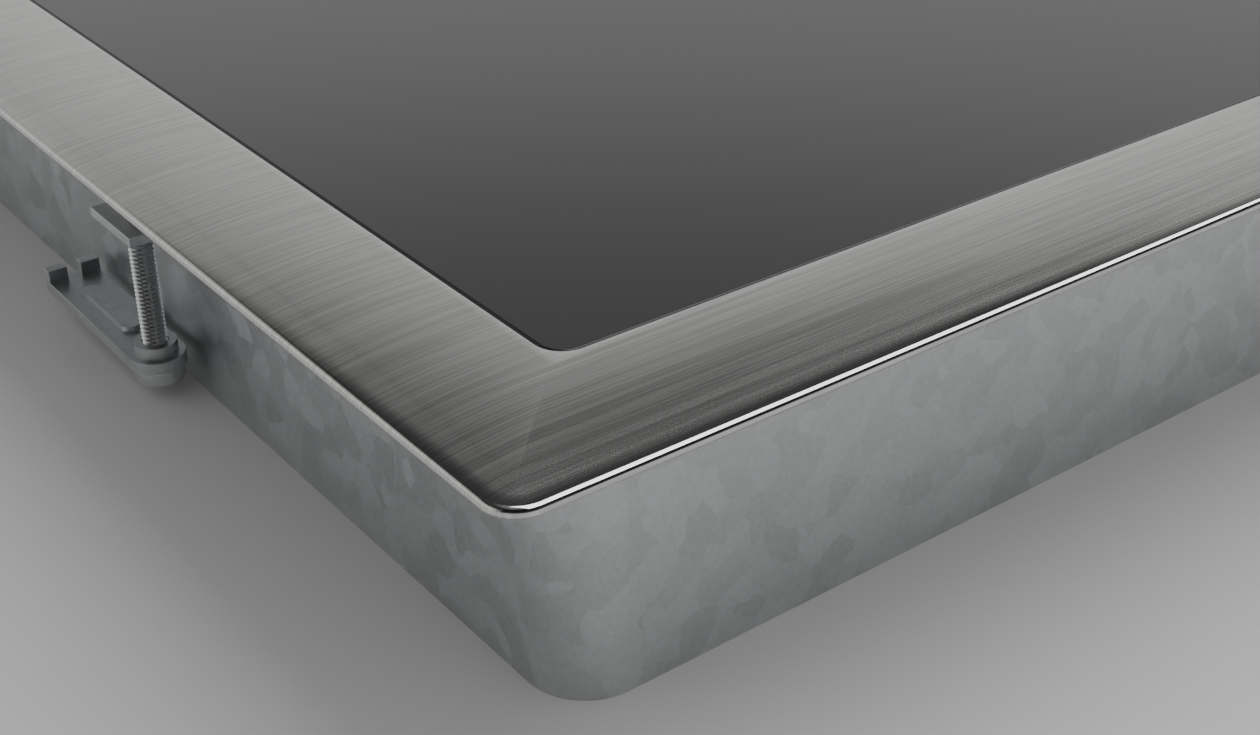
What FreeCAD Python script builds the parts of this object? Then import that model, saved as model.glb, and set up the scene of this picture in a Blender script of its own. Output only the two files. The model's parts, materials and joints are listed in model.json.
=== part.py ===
"""Built-in induction cooktop, 60 cm class, with a raised stainless steel rim round a flush glass panel.

Millimetres. X runs along the front edge, Y from the front to the back, Z up. The origin is the centre
of the base pan's underside, on which the cooktop rests when it is out of its worktop. Each function
makes one kind of piece, and each piece is written to parts/NODE.step.
"""
import FreeCAD, Part
import math
import os

V = FreeCAD.Vector
UP = V(0, 0, 1)
ALONG_X = V(1, 0, 0)
ALONG_Y = V(0, 1, 0)

# --- rim and glass --------------------------------------------------------------------------------
RIM_WIDTH = 583.0          # outer size along X
RIM_DEPTH = 513.0          # outer size along Y
WORKTOP_Z = 51.0           # height of the worktop's surface above the base pan's underside
RIM_RISE = 3.1             # top of the rim above the worktop
LIMB = 20.0                # visible width of the rim
OUTER_RADIUS = 4.5         # outer corner of the rim in plan
OPENING_RADIUS = 3.6       # corner of the opening that the glass sits in
RIM_SHEET = 0.8            # thickness of the rim's sheet
HEM = 5.0                  # width of the folded hem along the outer edge
CROWN_RUN = 8.0            # width of the strip that rolls down to the outer edge
CROWN_DROP = 1.2           # how far it rolls down
LEDGE = 7.0                # width of the ledge under the glass
GLASS = 4.0                # glass thickness
GLASS_DROP = 0.3           # glass surface below the rim's top
GLASS_GAP = 0.6            # silicone joint round the glass
GLASS_ARRIS = 0.5          # ground edge of the glass
BOND = 0.8                 # silicone bed under the glass
BOND_RECESS = 0.35         # silicone joint below the glass's arris
SEAL_GAP = 0.6             # foam seal inside the hem
SEAL_WIDTH = 5.2

# --- base pan -------------------------------------------------------------------------------------
PAN_STEP = 3.5             # pan's wall inside the rim's opening
PAN_RADIUS = 9.0
PAN_SHEET = 0.8
PAN_LIP = 6.0              # inward lip along the top of the walls
VENT_WIDTH = 3.2
VENT_PITCH = 7.0
VENT_HEIGHT = 16.0
VENT_Z = 12.0
FRONT_VENTS = 31
REAR_VENTS = 9
REAR_VENT_SIDE = 148.0     # middle of the rear vents from the left wall
BEAD_WIDTH = 12.0          # stiffening bead pressed into the pan's floor
BEAD_DEPTH = 0.5
BEAD_WALL = 0.8
BEAD_LENGTH = 290.0        # two beads from front to back, between the power boards
BEAD_SIDE = 20.0           # bead's middle from the board's inner edge
TAB_WIDTH = 16.0           # spot-welded tab that joins the rim to the pan
TAB_SHEET = 1.2
TAB_DROP = 9.6
TAB_END = 43.0             # side tabs from the front and rear walls
TAB_SIDE = 93.0            # front and rear tabs from the side walls
HOUSING_SCREW = 1.7        # shank radius
HOUSING_SCREW_LENGTH = 5.0
HOUSING_SCREW_HEAD = 3.4
HOUSING_SCREW_HEAD_HEIGHT = 1.9
TAB_HOLE_CLEARANCE = 0.2
SCREW_SLOT = 0.9           # width of a screw's drive slot
SCREW_SLOT_DEPTH = 0.9

# --- worktop clamps -------------------------------------------------------------------------------
CLAMP_END = 103.0          # clamp screw from the front or rear wall
CLAMP_SCREW = 2.0          # shank radius, M4
CLAMP_SCREW_LENGTH = 28.0
CLAMP_HEAD = 4.0           # head radius
CLAMP_HEAD_HEIGHT = 2.6
CLAMP_HEAD_Z = 3.0         # underside of the head when the clamp is let down
CLAMP_OFFSET = 5.8         # screw axis from the pan's wall
ARM_LENGTH = 34.0
ARM_WIDTH = 9.0
ARM_SHEET = 2.0
ARM_TIP = 2.2              # upturned tip that bites into the worktop
ARM_NOTCH = 2.4
ARM_RIB = 18.0             # length of the stiffening rib
ARM_RIB_WIDTH = 3.2
ARM_RIB_HEIGHT = 0.8
COLLAR_WALL = 1.4
COLLAR_HEIGHT = 2.0
LUG_Z = 29.6               # threaded lug above the pan's underside
LUG_SHEET = 1.6
LUG_WIDTH = 14.0
LUG_MARGIN = 2.4           # metal beyond the thread
THREAD_CLEARANCE = 0.05
SWIVEL_CLEARANCE = 0.08

# --- coils ----------------------------------------------------------------------------------------
ZONE_SIDE = 130.0          # coil's middle from the side wall
ZONES = {                  # name: (side, end, coil's middle from the front or rear wall, zone diameter)
    "front_left": (-1, -1, 123.0, 145.0),
    "rear_left": (-1, 1, 145.0, 210.0),
    "front_right": (1, -1, 133.0, 180.0),
    "rear_right": (1, 1, 141.0, 180.0),
}
COIL_MARGIN = 4.5          # winding inside the printed zone
MICA = 0.5
LITZ_HEIGHT = 4.0
LITZ_WIDTH = 3.5
LITZ_PITCH = 4.4
WINDING_START = 22.0       # inner radius of the winding
CARRIER_SHEET = 3.8
CARRIER_RIM = 2.4
CARRIER_RIM_DROP = 1.0     # carrier's rim below the glass
HUB_GAP = 3.5              # raised hub inside the winding
SENSOR_HOLE = 11.0         # radius of the hole for the temperature probe
COIL_CLEARANCE = 0.3
FERRITE_WIDTH = 10.0
FERRITE_HEIGHT = 3.0
FERRITE_MARGIN = 3.0       # bar's ends from the hub and from the carrier's rim
FERRITE_CLEARANCE = 0.1
FERRITE_SPACING = 60.0     # least arc between bars at the carrier's rim
SPRING_HEIGHT = 6.5
SPRING_RADIUS = 4.5
SPRING_WIRE = 0.45         # wire radius
SPRING_TURNS = 3
SPRINGS_PER_COIL = 3
SPRING_PLACE = 28.0        # springs inside the carrier's rim

# --- temperature probes ---------------------------------------------------------------------------
PROBE_FOOT = 8.0
PROBE_FOOT_HEIGHT = 2.0
PROBE_STEM = 4.0
PROBE_CAP = 6.0
PROBE_CAP_HEIGHT = 4.0

# --- inner frame ----------------------------------------------------------------------------------
TRAY_SHEET = 1.5
TRAY_GAP = 6.0             # tray's edge inside the pan's wall
TRAY_RADIUS = 7.0
TRAY_VENT = 5.0            # radius of the holes under each coil
TRAY_VENTS = 6
TRAY_VENT_MARGIN = 18.0    # holes inside the printed zone
PILLAR_RADIUS = 4.0
PILLAR_SIDE = 14.0         # pillars from the side walls
PILLAR_END = 18.0          # pillars from the front and rear walls
FRONT_PILLAR = 55.0        # middle front pillar from the front wall
TRAY_SCREW = 1.6
TRAY_SCREW_HEAD = 3.3
TRAY_SCREW_HEAD_HEIGHT = 1.9
TRAY_SCREW_GRIP = 7.0
LEAD = 1.6                 # litz lead radius
LEAD_HOLE = 3.5
LEAD_REACH = 30.0          # leads from the coil's middle
LEAD_SPACING = 12.0
LEAD_BEND = 4.8
LEAD_DROP = 3.0            # leads below the tray
LEAD_MARGIN = 10.0         # leads from the board's edges and from each other

# --- power electronics ----------------------------------------------------------------------------
BOARD = 1.6
BOARD_WIDTH = 196.0
BOARD_DEPTH = 205.0
BOARD_INNER = 48.0         # board's inner edge from the middle
BOARD_BEHIND = 17.5        # board's rear edge from the blower's outlet
STANDOFF_HEIGHT = 5.2
STANDOFF_RADIUS = 3.0
STANDOFF_PIN = 1.5
STANDOFF_MARGIN = 6.0
BOARD_HOLE = 1.6
HEATSINK_WIDTH = 44.0
HEATSINK_LENGTH = 184.0
HEATSINK_HEIGHT = 23.0
HEATSINK_BASE = 4.0
HEATSINK_MARGIN = 14.0     # heatsink from the board's outer edge
FINS = 9
FIN = 1.6
TRANSISTORS = 4
TRANSISTOR_PITCH = 34.0
TRANSISTOR = (5.0, 16.0, 18.0)   # thickness, width, height
BRIDGE_WIDTH = 24.0
LEG = 4.0                  # clear length of a transistor's legs
LEG_PITCH = 5.0
LEG_SECTION = (0.8, 1.2)
CAPACITORS = 4
CAPACITOR = (32.0, 13.0, 20.0)
CAPACITOR_PITCH = 24.0
CAPACITOR_GAP = 45.0       # capacitors from the heatsink
CHOKE_RING = 12.0
CHOKE_SECTION = 6.5
CHOKE_SEAT = 6.3
CHOKE_MARGIN = 26.0        # chokes from the board's front and rear edges
RELAYS = 3
RELAY = (15.0, 19.0, 15.5)
RELAY_PITCH = 24.0
RELAY_MARGIN = 24.0        # relays from the board's inner edge

# --- blowers --------------------------------------------------------------------------------------
BLOWER_INSET = 18.0        # blower's axis from the heatsink's middle, towards the cooktop's middle
BLOWER_GAP = 6.2           # blower from the terminal box
BLOWER_RADIUS = 46.0
BLOWER_HEIGHT = 27.0
BLOWER_WALL = 1.6
BLOWER_OUTLET = 4.0        # how far the outlet stands out in front
OUTLET_INNER = 4.0         # outlet's inner wall from the blower's axis
INLET_RADIUS = 26.0
ROTOR_RADIUS = 37.0
ROTOR_GAP = 1.8            # rotor to housing, above and below
ROTOR_DISC = 1.4
ROTOR_RING = 1.2
ROTOR_RING_INSET = 2.0
VANES = 30
VANE = 0.9
VANE_DEPTH = 9.0
VANE_TURN = 24.0           # degrees from radial
MOTOR_RADIUS = 11.5
MOTOR_Z = 10.0             # motor's underside above the pan's floor
CUP_CLEARANCE = 0.9
CUP_GAP = 1.2
CUP_WALL = 1.4
SHAFT = 1.5
SHAFT_CLEARANCE = 0.05
SHAFT_END = 0.4            # shaft's end below the bush's end
BUSH_END = 2.6             # bush's end below the blower's top

# --- control unit ---------------------------------------------------------------------------------
CONTROL_WIDTH = 236.0
CONTROL_DEPTH = 34.0
CONTROL_WALL = 1.8
CONTROL_FLOOR = 1.6
CONTROL_LIP = 1.6          # tray's wall above the board
CONTROL_GAP = 1.0          # unit from the front wall
CONTROL_RIBS = 3
CONTROL_RIB = 1.6
CONTROL_RIB_PITCH = 40.0
TOUCH_GAP = 4.0            # touch board below the glass
BOARD_CLEARANCE = 0.3
DISPLAYS = 5
DISPLAY = (18.0, 10.0)
DISPLAY_PITCH = 42.0
DISPLAY_GAP = 0.4          # display below the glass
DISPLAY_Y = 6.5            # displays behind the unit's middle
KEYS = 14
KEY_PITCH = 15.0
KEY_RADIUS = 2.8
KEY_WALL = 0.7
KEY_Y = -7.5
RIBBON = (20.0, 0.8)
RIBBON_BEND = 4.0
RIBBON_INSET = 27.0        # ribbon from the left board's inner edge
RIBBON_SLOT = (28.0, 6.0)
RIBBON_RISE = 8.0          # ribbon above the power board
RIBBON_MARGIN = 6.0        # ribbon from the board's front edge

# --- mains connection -----------------------------------------------------------------------------
BOX_BESIDE = 20.0          # box's left side from the blower's, for the mains wires
BOX_WIDTH = 112.0
BOX_DEPTH = 46.0
BOX_HEIGHT = 31.0
BOX_WALL = 1.8
HATCH_SIDE = 5.0           # hatch's right edge from the box's right side
HATCH_WIDTH = 71.0
HATCH_LOW = 5.0
HATCH_HIGH = 28.0
COVER = 2.0
COVER_GAP = 0.4
COVER_LAP = 2.5
COVER_PLAY = 0.3           # cover to its hinge ears
COVER_RIB = 1.2
COVER_RIB_HEIGHT = 0.8
COVER_RIBS = 4
COVER_RIB_MARGIN = 10.0
LATCH_WIDTH = 2.0
LATCH_HEIGHT = 11.0
LATCH_REACH = 2.0
HINGE_BESIDE = 7.0         # hinge axis from the hatch's right edge
HINGE_STANDOFF = 3.4       # hinge axis from the pan's rear wall
HINGE_BARREL = 2.2
HINGE_PIN = 1.2
PIN_CLEARANCE = 0.05
EAR = 2.0
EAR_MARGIN = 2.4
GLAND_SIDE = 18.0          # gland from the box's left side
GLAND_Z = 16.0
GLAND_BORE = 6.25          # takes a 12 mm mains cable
GLAND_BODY = 9.4
GLAND_PLAY = 0.1
GLAND_FLANGE = 12.4
GLAND_FLANGE_SHEET = 2.6
GLAND_NOSE = 9.0           # how far the gland stands out of the rear wall
GLAND_TAPER = 2.2
GLAND_INSIDE = 9.0
GLAND_NUT = 12.0           # half the nut's width over its corners
GLAND_NUT_HEIGHT = 4.0
WIRE = 1.4                 # mains wire radius
WIRE_BEND = 2.6
WIRE_PITCH = 4.4
WIRES = 3
WIRE_SIDE = 6.0            # first wire from the box's left side
WIRE_HOLE = 0.2
WIRE_RISE = 8.0            # wires above the box's floor
POLES = 5
POLE_PITCH = 11.0
POLE_DEPTH = 20.0
POLE_HEIGHT = 16.0
POLE_SCREW = 2.6
POLE_WELL = 3.2
POLE_ENTRY = 2.8
BLOCK_SIDE = 4.0           # terminal block from the hatch's left edge
BLOCK_GAP = 3.0            # terminal block from the box's front wall

# --- heights and places that follow from the sizes above ------------------------------------------
RIM_TOP = WORKTOP_Z + RIM_RISE
SKIN_UNDER = RIM_TOP - RIM_SHEET
EDGE_TOP = RIM_TOP - CROWN_DROP
EDGE_RADIUS = RIM_SHEET    # the hem is two sheets thick and rolled round
EDGE_UNDER = EDGE_TOP - 2 * EDGE_RADIUS
GLASS_TOP = RIM_TOP - GLASS_DROP
GLASS_UNDER = GLASS_TOP - GLASS
LEDGE_TOP = GLASS_UNDER - BOND
LEDGE_UNDER = LEDGE_TOP - RIM_SHEET
PAN_X = RIM_WIDTH / 2 - LIMB - PAN_STEP
PAN_Y = RIM_DEPTH / 2 - LIMB - PAN_STEP
PAN_FLOOR = PAN_SHEET
SCREW_Z = LEDGE_UNDER - RIM_SHEET - TAB_DROP / 2
MICA_UNDER = GLASS_UNDER - MICA
WINDING_UNDER = MICA_UNDER - LITZ_HEIGHT
CARRIER_UNDER = WINDING_UNDER - CARRIER_SHEET
TRAY_TOP = CARRIER_UNDER - SPRING_HEIGHT
TRAY_UNDER = TRAY_TOP - TRAY_SHEET
BACK = PAN_Y - PAN_SHEET
BOARD_X = BOARD_INNER + BOARD_WIDTH / 2
HEATSINK_X = BOARD_INNER + BOARD_WIDTH - HEATSINK_MARGIN - HEATSINK_WIDTH / 2
BEAD_X = BOARD_INNER - BEAD_SIDE
RIBBON_X = -(BOARD_INNER + RIBBON_INSET)
BLOWER_X = HEATSINK_X - BLOWER_INSET
BOX_LEFT = BLOWER_X - BLOWER_RADIUS - BOX_BESIDE
BOX_RIGHT = BOX_LEFT + BOX_WIDTH
BOX_FRONT = BACK - BOX_DEPTH
HATCH_RIGHT = BOX_RIGHT - HATCH_SIDE
HATCH_LEFT = HATCH_RIGHT - HATCH_WIDTH
HINGE_X = HATCH_RIGHT + HINGE_BESIDE
HINGE_Y = PAN_Y + HINGE_STANDOFF
GLAND_X = BOX_LEFT + GLAND_SIDE
BLOWER_Y = BOX_FRONT - BLOWER_GAP - BLOWER_RADIUS
BOARD_UNDER = PAN_FLOOR + STANDOFF_HEIGHT
BOARD_TOP = BOARD_UNDER + BOARD
BOARD_BACK = BLOWER_Y - BLOWER_RADIUS - BLOWER_OUTLET - BOARD_BEHIND
BOARD_Y = BOARD_BACK - BOARD_DEPTH / 2
BOARD_FRONT = BOARD_BACK - BOARD_DEPTH
CLAMP_X = PAN_X + CLAMP_OFFSET
CLAMP_Y = PAN_Y - CLAMP_END
CONTROL_Y = -BACK + CONTROL_GAP + CONTROL_DEPTH / 2
CONTROL_BOARD_TOP = GLASS_UNDER - TOUCH_GAP
CONTROL_BOARD_UNDER = CONTROL_BOARD_TOP - BOARD
CARRIER_HUB = WINDING_START - HUB_GAP
SIDES = {"left": -1, "right": 1}
ENDS = {"front": -1, "rear": 1}


# --- shapes ---------------------------------------------------------------------------------------
def block(x0, x1, y0, y1, z0, z1):
    low_x, high_x = sorted((x0, x1))
    return Part.makeBox(high_x - low_x, y1 - y0, z1 - z0, V(low_x, y0, z0))


def centred(x, y, width, depth, z0, z1):
    return block(x - width / 2, x + width / 2, y - depth / 2, y + depth / 2, z0, z1)


def rod(x, y, radius, z0, z1):
    return Part.makeCylinder(radius, z1 - z0, V(x, y, z0))


def rod_along_y(x, z, radius, y0, y1):
    return Part.makeCylinder(radius, y1 - y0, V(x, y0, z), ALONG_Y)


def rod_along_x(y, z, radius, x0, x1):
    return Part.makeCylinder(radius, x1 - x0, V(x0, y, z), ALONG_X)


def tube(x, y, outer, inner, z0, z1):
    return rod(x, y, outer, z0, z1).cut(rod(x, y, inner, z0, z1))


def rounded_wire(half_x, half_y, radius, z, x=0.0, y=0.0):
    """A rectangle with rounded corners, anticlockwise, as four arcs and the straight edges between them."""
    arcs = []
    for sx, sy, start in ((1, 1, 0), (-1, 1, 90), (-1, -1, 180), (1, -1, 270)):
        centre = V(x + sx * (half_x - radius), y + sy * (half_y - radius), z)
        angles = [math.radians(start + turn) for turn in (0, 45, 90)]
        arcs.append([centre + V(radius * math.cos(a), radius * math.sin(a), 0) for a in angles])
    edges = []
    for here, following in zip(arcs, arcs[1:] + arcs[:1]):
        edges.append(Part.Arc(*here).toShape())
        if (following[0] - here[2]).Length > 1e-6:
            edges.append(Part.LineSegment(here[2], following[0]).toShape())
    return Part.Wire(edges)


def rounded_slab(half_x, half_y, radius, z0, z1, x=0.0, y=0.0):
    return Part.Face(rounded_wire(half_x, half_y, radius, z0, x, y)).extrude(V(0, 0, z1 - z0))


def slot_slab(length, width, z0, z1, x, y):
    """A slot with round ends, along X."""
    return rounded_slab(length / 2, width / 2, width / 2, z0, z1, x, y)


def rim_wire(inset, z, radius=None):
    """The rim's contour at this inset from its outer edge."""
    if radius is None:
        radius = OUTER_RADIUS + (OPENING_RADIUS - OUTER_RADIUS) * inset / LIMB
    return rounded_wire(RIM_WIDTH / 2 - inset, RIM_DEPTH / 2 - inset, radius, z)


def rim_slab(inset, z0, z1, radius=None):
    return Part.Face(rim_wire(inset, z0, radius)).extrude(V(0, 0, z1 - z0))


def rim_ring(inset, width, z0, z1):
    return rim_slab(inset, z0, z1).cut(rim_slab(inset + width, z0, z1))


def joined(shapes):
    """One solid from pieces that touch or overlap."""
    return shapes[0].fuse(shapes[1:]).removeSplitter()


def group(shapes):
    """Separate solids that share one node."""
    return Part.makeCompound([solid for shape in shapes for solid in shape.Solids])


def cut_all(shape, cutters):
    return shape.cut(cutters[0].fuse(cutters[1:]))


def turned(shape, degrees, x=0.0, y=0.0):
    copy = shape.copy()
    copy.rotate(V(x, y, 0), UP, degrees)
    return copy


def moved(shape, x=0.0, y=0.0, z=0.0):
    copy = shape.copy()
    copy.translate(V(x, y, z))
    return copy


def round_top(shape, radius):
    """Fillet the edges that lie at the shape's top."""
    top = shape.BoundBox.ZMax
    return shape.makeFillet(radius, [e for e in shape.Edges if abs(e.BoundBox.ZMin - top) < 1e-3])


def round_bottom(shape, radius):
    """Fillet the edges that lie at the shape's bottom."""
    bottom = shape.BoundBox.ZMin
    return shape.makeFillet(radius, [e for e in shape.Edges if abs(e.BoundBox.ZMax - bottom) < 1e-3])


def bent_path(points, radius):
    """Straight runs through the points, joined by tangent arcs of this radius."""
    edges = []
    start = points[0]
    for before, at, after in zip(points, points[1:], points[2:]):
        into = (at - before).normalize()
        out = (after - at).normalize()
        half_turn = into.getAngle(out) / 2
        back = radius * math.tan(half_turn)
        first, last = at - into * back, at + out * back
        bisector = (out - into).normalize()
        centre = at + bisector * (radius / math.cos(half_turn))
        edges.append(Part.LineSegment(start, first).toShape())
        edges.append(Part.Arc(first, centre - bisector * radius, last).toShape())
        start = last
    edges.append(Part.LineSegment(start, points[-1]).toShape())
    return Part.Wire(edges)


def wire_along(points, radius, bend):
    """A round wire of this radius through the points."""
    profile = Part.Wire(Part.Circle(points[0], points[1] - points[0], radius).toShape())
    return bent_path(points, bend).makePipeShell([profile], True, False)


# --- rim, glass and seals -------------------------------------------------------------------------
def rim_outline():
    """(inset, height) up the rim's outside, from the underside of the rolled edge to the flat top."""
    middle = EDGE_TOP - EDGE_RADIUS
    points = []
    for step in range(9):
        a = math.radians(-90 + 180 * step / 8)
        points.append((EDGE_RADIUS * (1 - math.cos(a)), middle + EDGE_RADIUS * math.sin(a)))
    run = CROWN_RUN - EDGE_RADIUS
    crown_radius = (run**2 + CROWN_DROP**2) / (2 * CROWN_DROP)
    for step in range(1, 7):
        to_go = run * (1 - step / 6)
        points.append((CROWN_RUN - to_go, RIM_TOP - crown_radius + math.sqrt(crown_radius**2 - to_go**2)))
    return points


def tab_places():
    """(x, y, degrees) of each welded tab, where 0 degrees faces +X."""
    side_y = PAN_Y - TAB_END
    end_x = PAN_X - TAB_SIDE
    places = [(side * PAN_X, y, 90 - 90 * side) for side in (1, -1) for y in (-side_y, 0.0, side_y)]
    return places + [(x, end * PAN_Y, 90 * end) for end in (1, -1) for x in (-end_x, end_x)]


def rim_tab():
    """An angle tab, its upright leg against a wall whose outer face is the plane X = 0."""
    half = TAB_WIDTH / 2
    foot = block(0, PAN_STEP, -half, half, LEDGE_UNDER - TAB_SHEET, LEDGE_UNDER)
    leg = block(0, TAB_SHEET, -half, half, LEDGE_UNDER - TAB_DROP, LEDGE_UNDER)
    hole = rod_along_x(0, SCREW_Z, HOUSING_SCREW + TAB_HOLE_CLEARANCE, -TAB_SHEET, 2 * TAB_SHEET)
    return joined([foot, leg]).cut(hole)


def rim_frame():
    body = Part.makeLoft([rim_wire(inset, z) for inset, z in rim_outline()], True, True)
    hollow = rim_ring(HEM, LIMB - RIM_SHEET - HEM, EDGE_UNDER - 1, SKIN_UNDER)
    opening = rim_slab(LIMB, EDGE_UNDER - 1, RIM_TOP + 1)
    skin = body.cut(hollow).cut(opening)
    wall = rim_ring(LIMB - RIM_SHEET, RIM_SHEET, LEDGE_UNDER, SKIN_UNDER + RIM_SHEET / 2)
    ledge = rim_ring(LIMB - RIM_SHEET, RIM_SHEET + LEDGE, LEDGE_UNDER, LEDGE_TOP)
    tabs = [moved(turned(rim_tab(), turn), x, y) for x, y, turn in tab_places()]
    return joined([skin, wall, ledge] + tabs)


def glass_panel():
    slab = rim_slab(LIMB + GLASS_GAP, GLASS_UNDER, GLASS_TOP, OPENING_RADIUS - GLASS_GAP)
    top = [e for e in slab.Edges if e.BoundBox.ZMin > GLASS_TOP - 1e-3]
    return slab.makeChamfer(GLASS_ARRIS, top)


def glass_adhesive():
    """Silicone round the glass and under its edge."""
    joint = rim_slab(LIMB, LEDGE_TOP, GLASS_TOP - GLASS_ARRIS - BOND_RECESS)
    joint = joint.cut(rim_slab(LIMB + GLASS_GAP, LEDGE_TOP, GLASS_TOP, OPENING_RADIUS - GLASS_GAP))
    bed = rim_slab(LIMB, LEDGE_TOP, GLASS_UNDER).cut(rim_slab(LIMB + LEDGE, LEDGE_TOP, GLASS_UNDER))
    return joined([joint, bed])


def worktop_seal():
    return rim_ring(HEM + SEAL_GAP, SEAL_WIDTH, WORKTOP_Z, SKIN_UNDER)


# --- base pan -------------------------------------------------------------------------------------
def vent_row(count, middle_x, wall_y):
    """Upright slots through a wall that runs along X."""
    low, high = wall_y - 2 * PAN_SHEET, wall_y + 2 * PAN_SHEET
    cuts = []
    for n in range(count):
        x = middle_x + (n - (count - 1) / 2) * VENT_PITCH
        cuts.append(block(x - VENT_WIDTH / 2, x + VENT_WIDTH / 2, low, high, VENT_Z, VENT_Z + VENT_HEIGHT))
    return cuts


def inlet_grille(x, y):
    """Parallel slots inside the circle of a blower's inlet."""
    reach = INLET_RADIUS - VENT_WIDTH / 2
    count = int(2 * reach / VENT_PITCH)
    cuts = []
    for n in range(count):
        offset = (n - (count - 1) / 2) * VENT_PITCH
        length = 2 * math.sqrt(reach**2 - offset**2)
        cuts.append(slot_slab(length, VENT_WIDTH, -1, PAN_FLOOR + 1, x, y + offset))
    return cuts


def clamp_lug(side, end):
    """A lug welded to the side wall, with the thread that the clamp screw runs in."""
    x, y = side * CLAMP_X, end * CLAMP_Y
    half = LUG_WIDTH / 2
    tip = side * (CLAMP_X + CLAMP_SCREW + LUG_MARGIN)
    plate = block(side * PAN_X, tip, y - half, y + half, LUG_Z, LUG_Z + LUG_SHEET)
    return plate.cut(rod(x, y, CLAMP_SCREW + THREAD_CLEARANCE, LUG_Z - 1, LUG_Z + LUG_SHEET + 1))


def clamp_lugs():
    return group([clamp_lug(side, end) for side in SIDES.values() for end in ENDS.values()])


def hinge_ear(z):
    """One of the two ears on the rear wall that carry the hatch cover's pins."""
    half = EAR_MARGIN
    plate = block(HINGE_X - half, HINGE_X + half, PAN_Y, HINGE_Y + EAR_MARGIN, z, z + EAR)
    return plate.cut(rod(HINGE_X, HINGE_Y, HINGE_PIN + PIN_CLEARANCE, z - 1, z + EAR + 1))


def pan_floor():
    """The pan's bottom sheet with its inlet grilles and stiffening beads."""
    sheet = rounded_slab(PAN_X, PAN_Y, PAN_RADIUS, 0, PAN_FLOOR)
    ridge_length, ridge_width = BEAD_LENGTH + 2 * BEAD_WALL, BEAD_WIDTH + 2 * BEAD_WALL
    ridge = slot_slab(ridge_length, ridge_width, 0, PAN_FLOOR + BEAD_DEPTH, 0, 0)
    groove = slot_slab(BEAD_LENGTH, BEAD_WIDTH, -1, BEAD_DEPTH, 0, 0)
    ridges = []
    cuts = []
    for side in SIDES.values():
        ridges.append(moved(turned(ridge, 90), side * BEAD_X, 0))
        cuts.append(moved(turned(groove, 90), side * BEAD_X, 0))
        cuts += inlet_grille(side * BLOWER_X, BLOWER_Y)
    return cut_all(joined([sheet] + ridges), cuts)


def pan_walls():
    """Four folded walls on the pan's floor with an inward lip, the vents and the terminal hatch.

    The side walls are bent round the corners and meet the front and rear walls in butt seams.
    """
    inner_radius = PAN_RADIUS - PAN_SHEET
    lip_under = LEDGE_UNDER - PAN_SHEET
    shell = rounded_slab(PAN_X, PAN_Y, PAN_RADIUS, PAN_FLOOR, LEDGE_UNDER)
    room = rounded_slab(PAN_X - PAN_SHEET, BACK, inner_radius, PAN_FLOOR - 1, lip_under)
    mouth = rounded_slab(PAN_X - PAN_LIP, PAN_Y - PAN_LIP, inner_radius, lip_under - 1, LEDGE_UNDER + 1)
    cuts = vent_row(FRONT_VENTS, 0, -PAN_Y) + vent_row(REAR_VENTS, REAR_VENT_SIDE - PAN_X, PAN_Y)
    cuts.append(block(HATCH_LEFT, HATCH_RIGHT, BACK - 1, PAN_Y + 1, HATCH_LOW, HATCH_HIGH))
    cuts.append(rod_along_y(GLAND_X, GLAND_Z, GLAND_BODY, BACK - 1, PAN_Y + 1))
    hole = rod_along_x(0, SCREW_Z, HOUSING_SCREW, -2 * PAN_SHEET, PAN_SHEET)
    cuts += [moved(turned(hole, turn), x, y) for x, y, turn in tab_places()]
    ears = [hinge_ear(HATCH_LOW - COVER_LAP - EAR), hinge_ear(HATCH_HIGH + COVER_LAP)]
    walls = joined([cut_all(shell.cut(room).cut(mouth), cuts)] + ears)
    seam_x = PAN_X - PAN_RADIUS
    spans = [(-PAN_X - 1, -seam_x), (-seam_x, seam_x), (seam_x, PAN_X + 1)]
    parts = [walls.common(block(*span, -RIM_DEPTH, RIM_DEPTH, -1, RIM_TOP)) for span in spans]
    return group(parts)


def housing_screw():
    """A pan-head screw along X, its head on a tab whose inner face is the plane X = 0."""
    seat = TAB_SHEET
    top = seat + HOUSING_SCREW_HEAD_HEIGHT
    shank = rod_along_x(0, SCREW_Z, HOUSING_SCREW, seat - HOUSING_SCREW_LENGTH, seat)
    head = rod_along_x(0, SCREW_Z, HOUSING_SCREW_HEAD, seat, top)
    outer_edge = [e for e in head.Edges if e.BoundBox.XMin > top - 1e-3]
    head = head.makeFillet(HOUSING_SCREW_HEAD_HEIGHT / 2, outer_edge)
    reach = 0.6 * HOUSING_SCREW_HEAD
    cross = []
    for half_y, half_z in ((SCREW_SLOT / 2, reach), (reach, SCREW_SLOT / 2)):
        low, high = SCREW_Z - half_z, SCREW_Z + half_z
        cross.append(block(top - SCREW_SLOT_DEPTH, top + 1, -half_y, half_y, low, high))
    return cut_all(joined([shank, head]), cross)


def tray_screw(x, y):
    top = TRAY_TOP + TRAY_SCREW_HEAD_HEIGHT
    head = round_top(rod(x, y, TRAY_SCREW_HEAD, TRAY_TOP, top), TRAY_SCREW_HEAD_HEIGHT / 2)
    shank = rod(x, y, TRAY_SCREW, TRAY_UNDER - TRAY_SCREW_GRIP, TRAY_TOP)
    slot = centred(x, y, 1.2 * TRAY_SCREW_HEAD, SCREW_SLOT, top - SCREW_SLOT_DEPTH, top + 1)
    return joined([head, shank]).cut(slot)


def case_screws():
    """The screws through the rim's tabs into the pan, and those of the coil tray."""
    tabs = [moved(turned(housing_screw(), turn), x, y) for x, y, turn in tab_places()]
    return group(tabs + [tray_screw(x, y) for x, y in pillar_places()])


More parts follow.
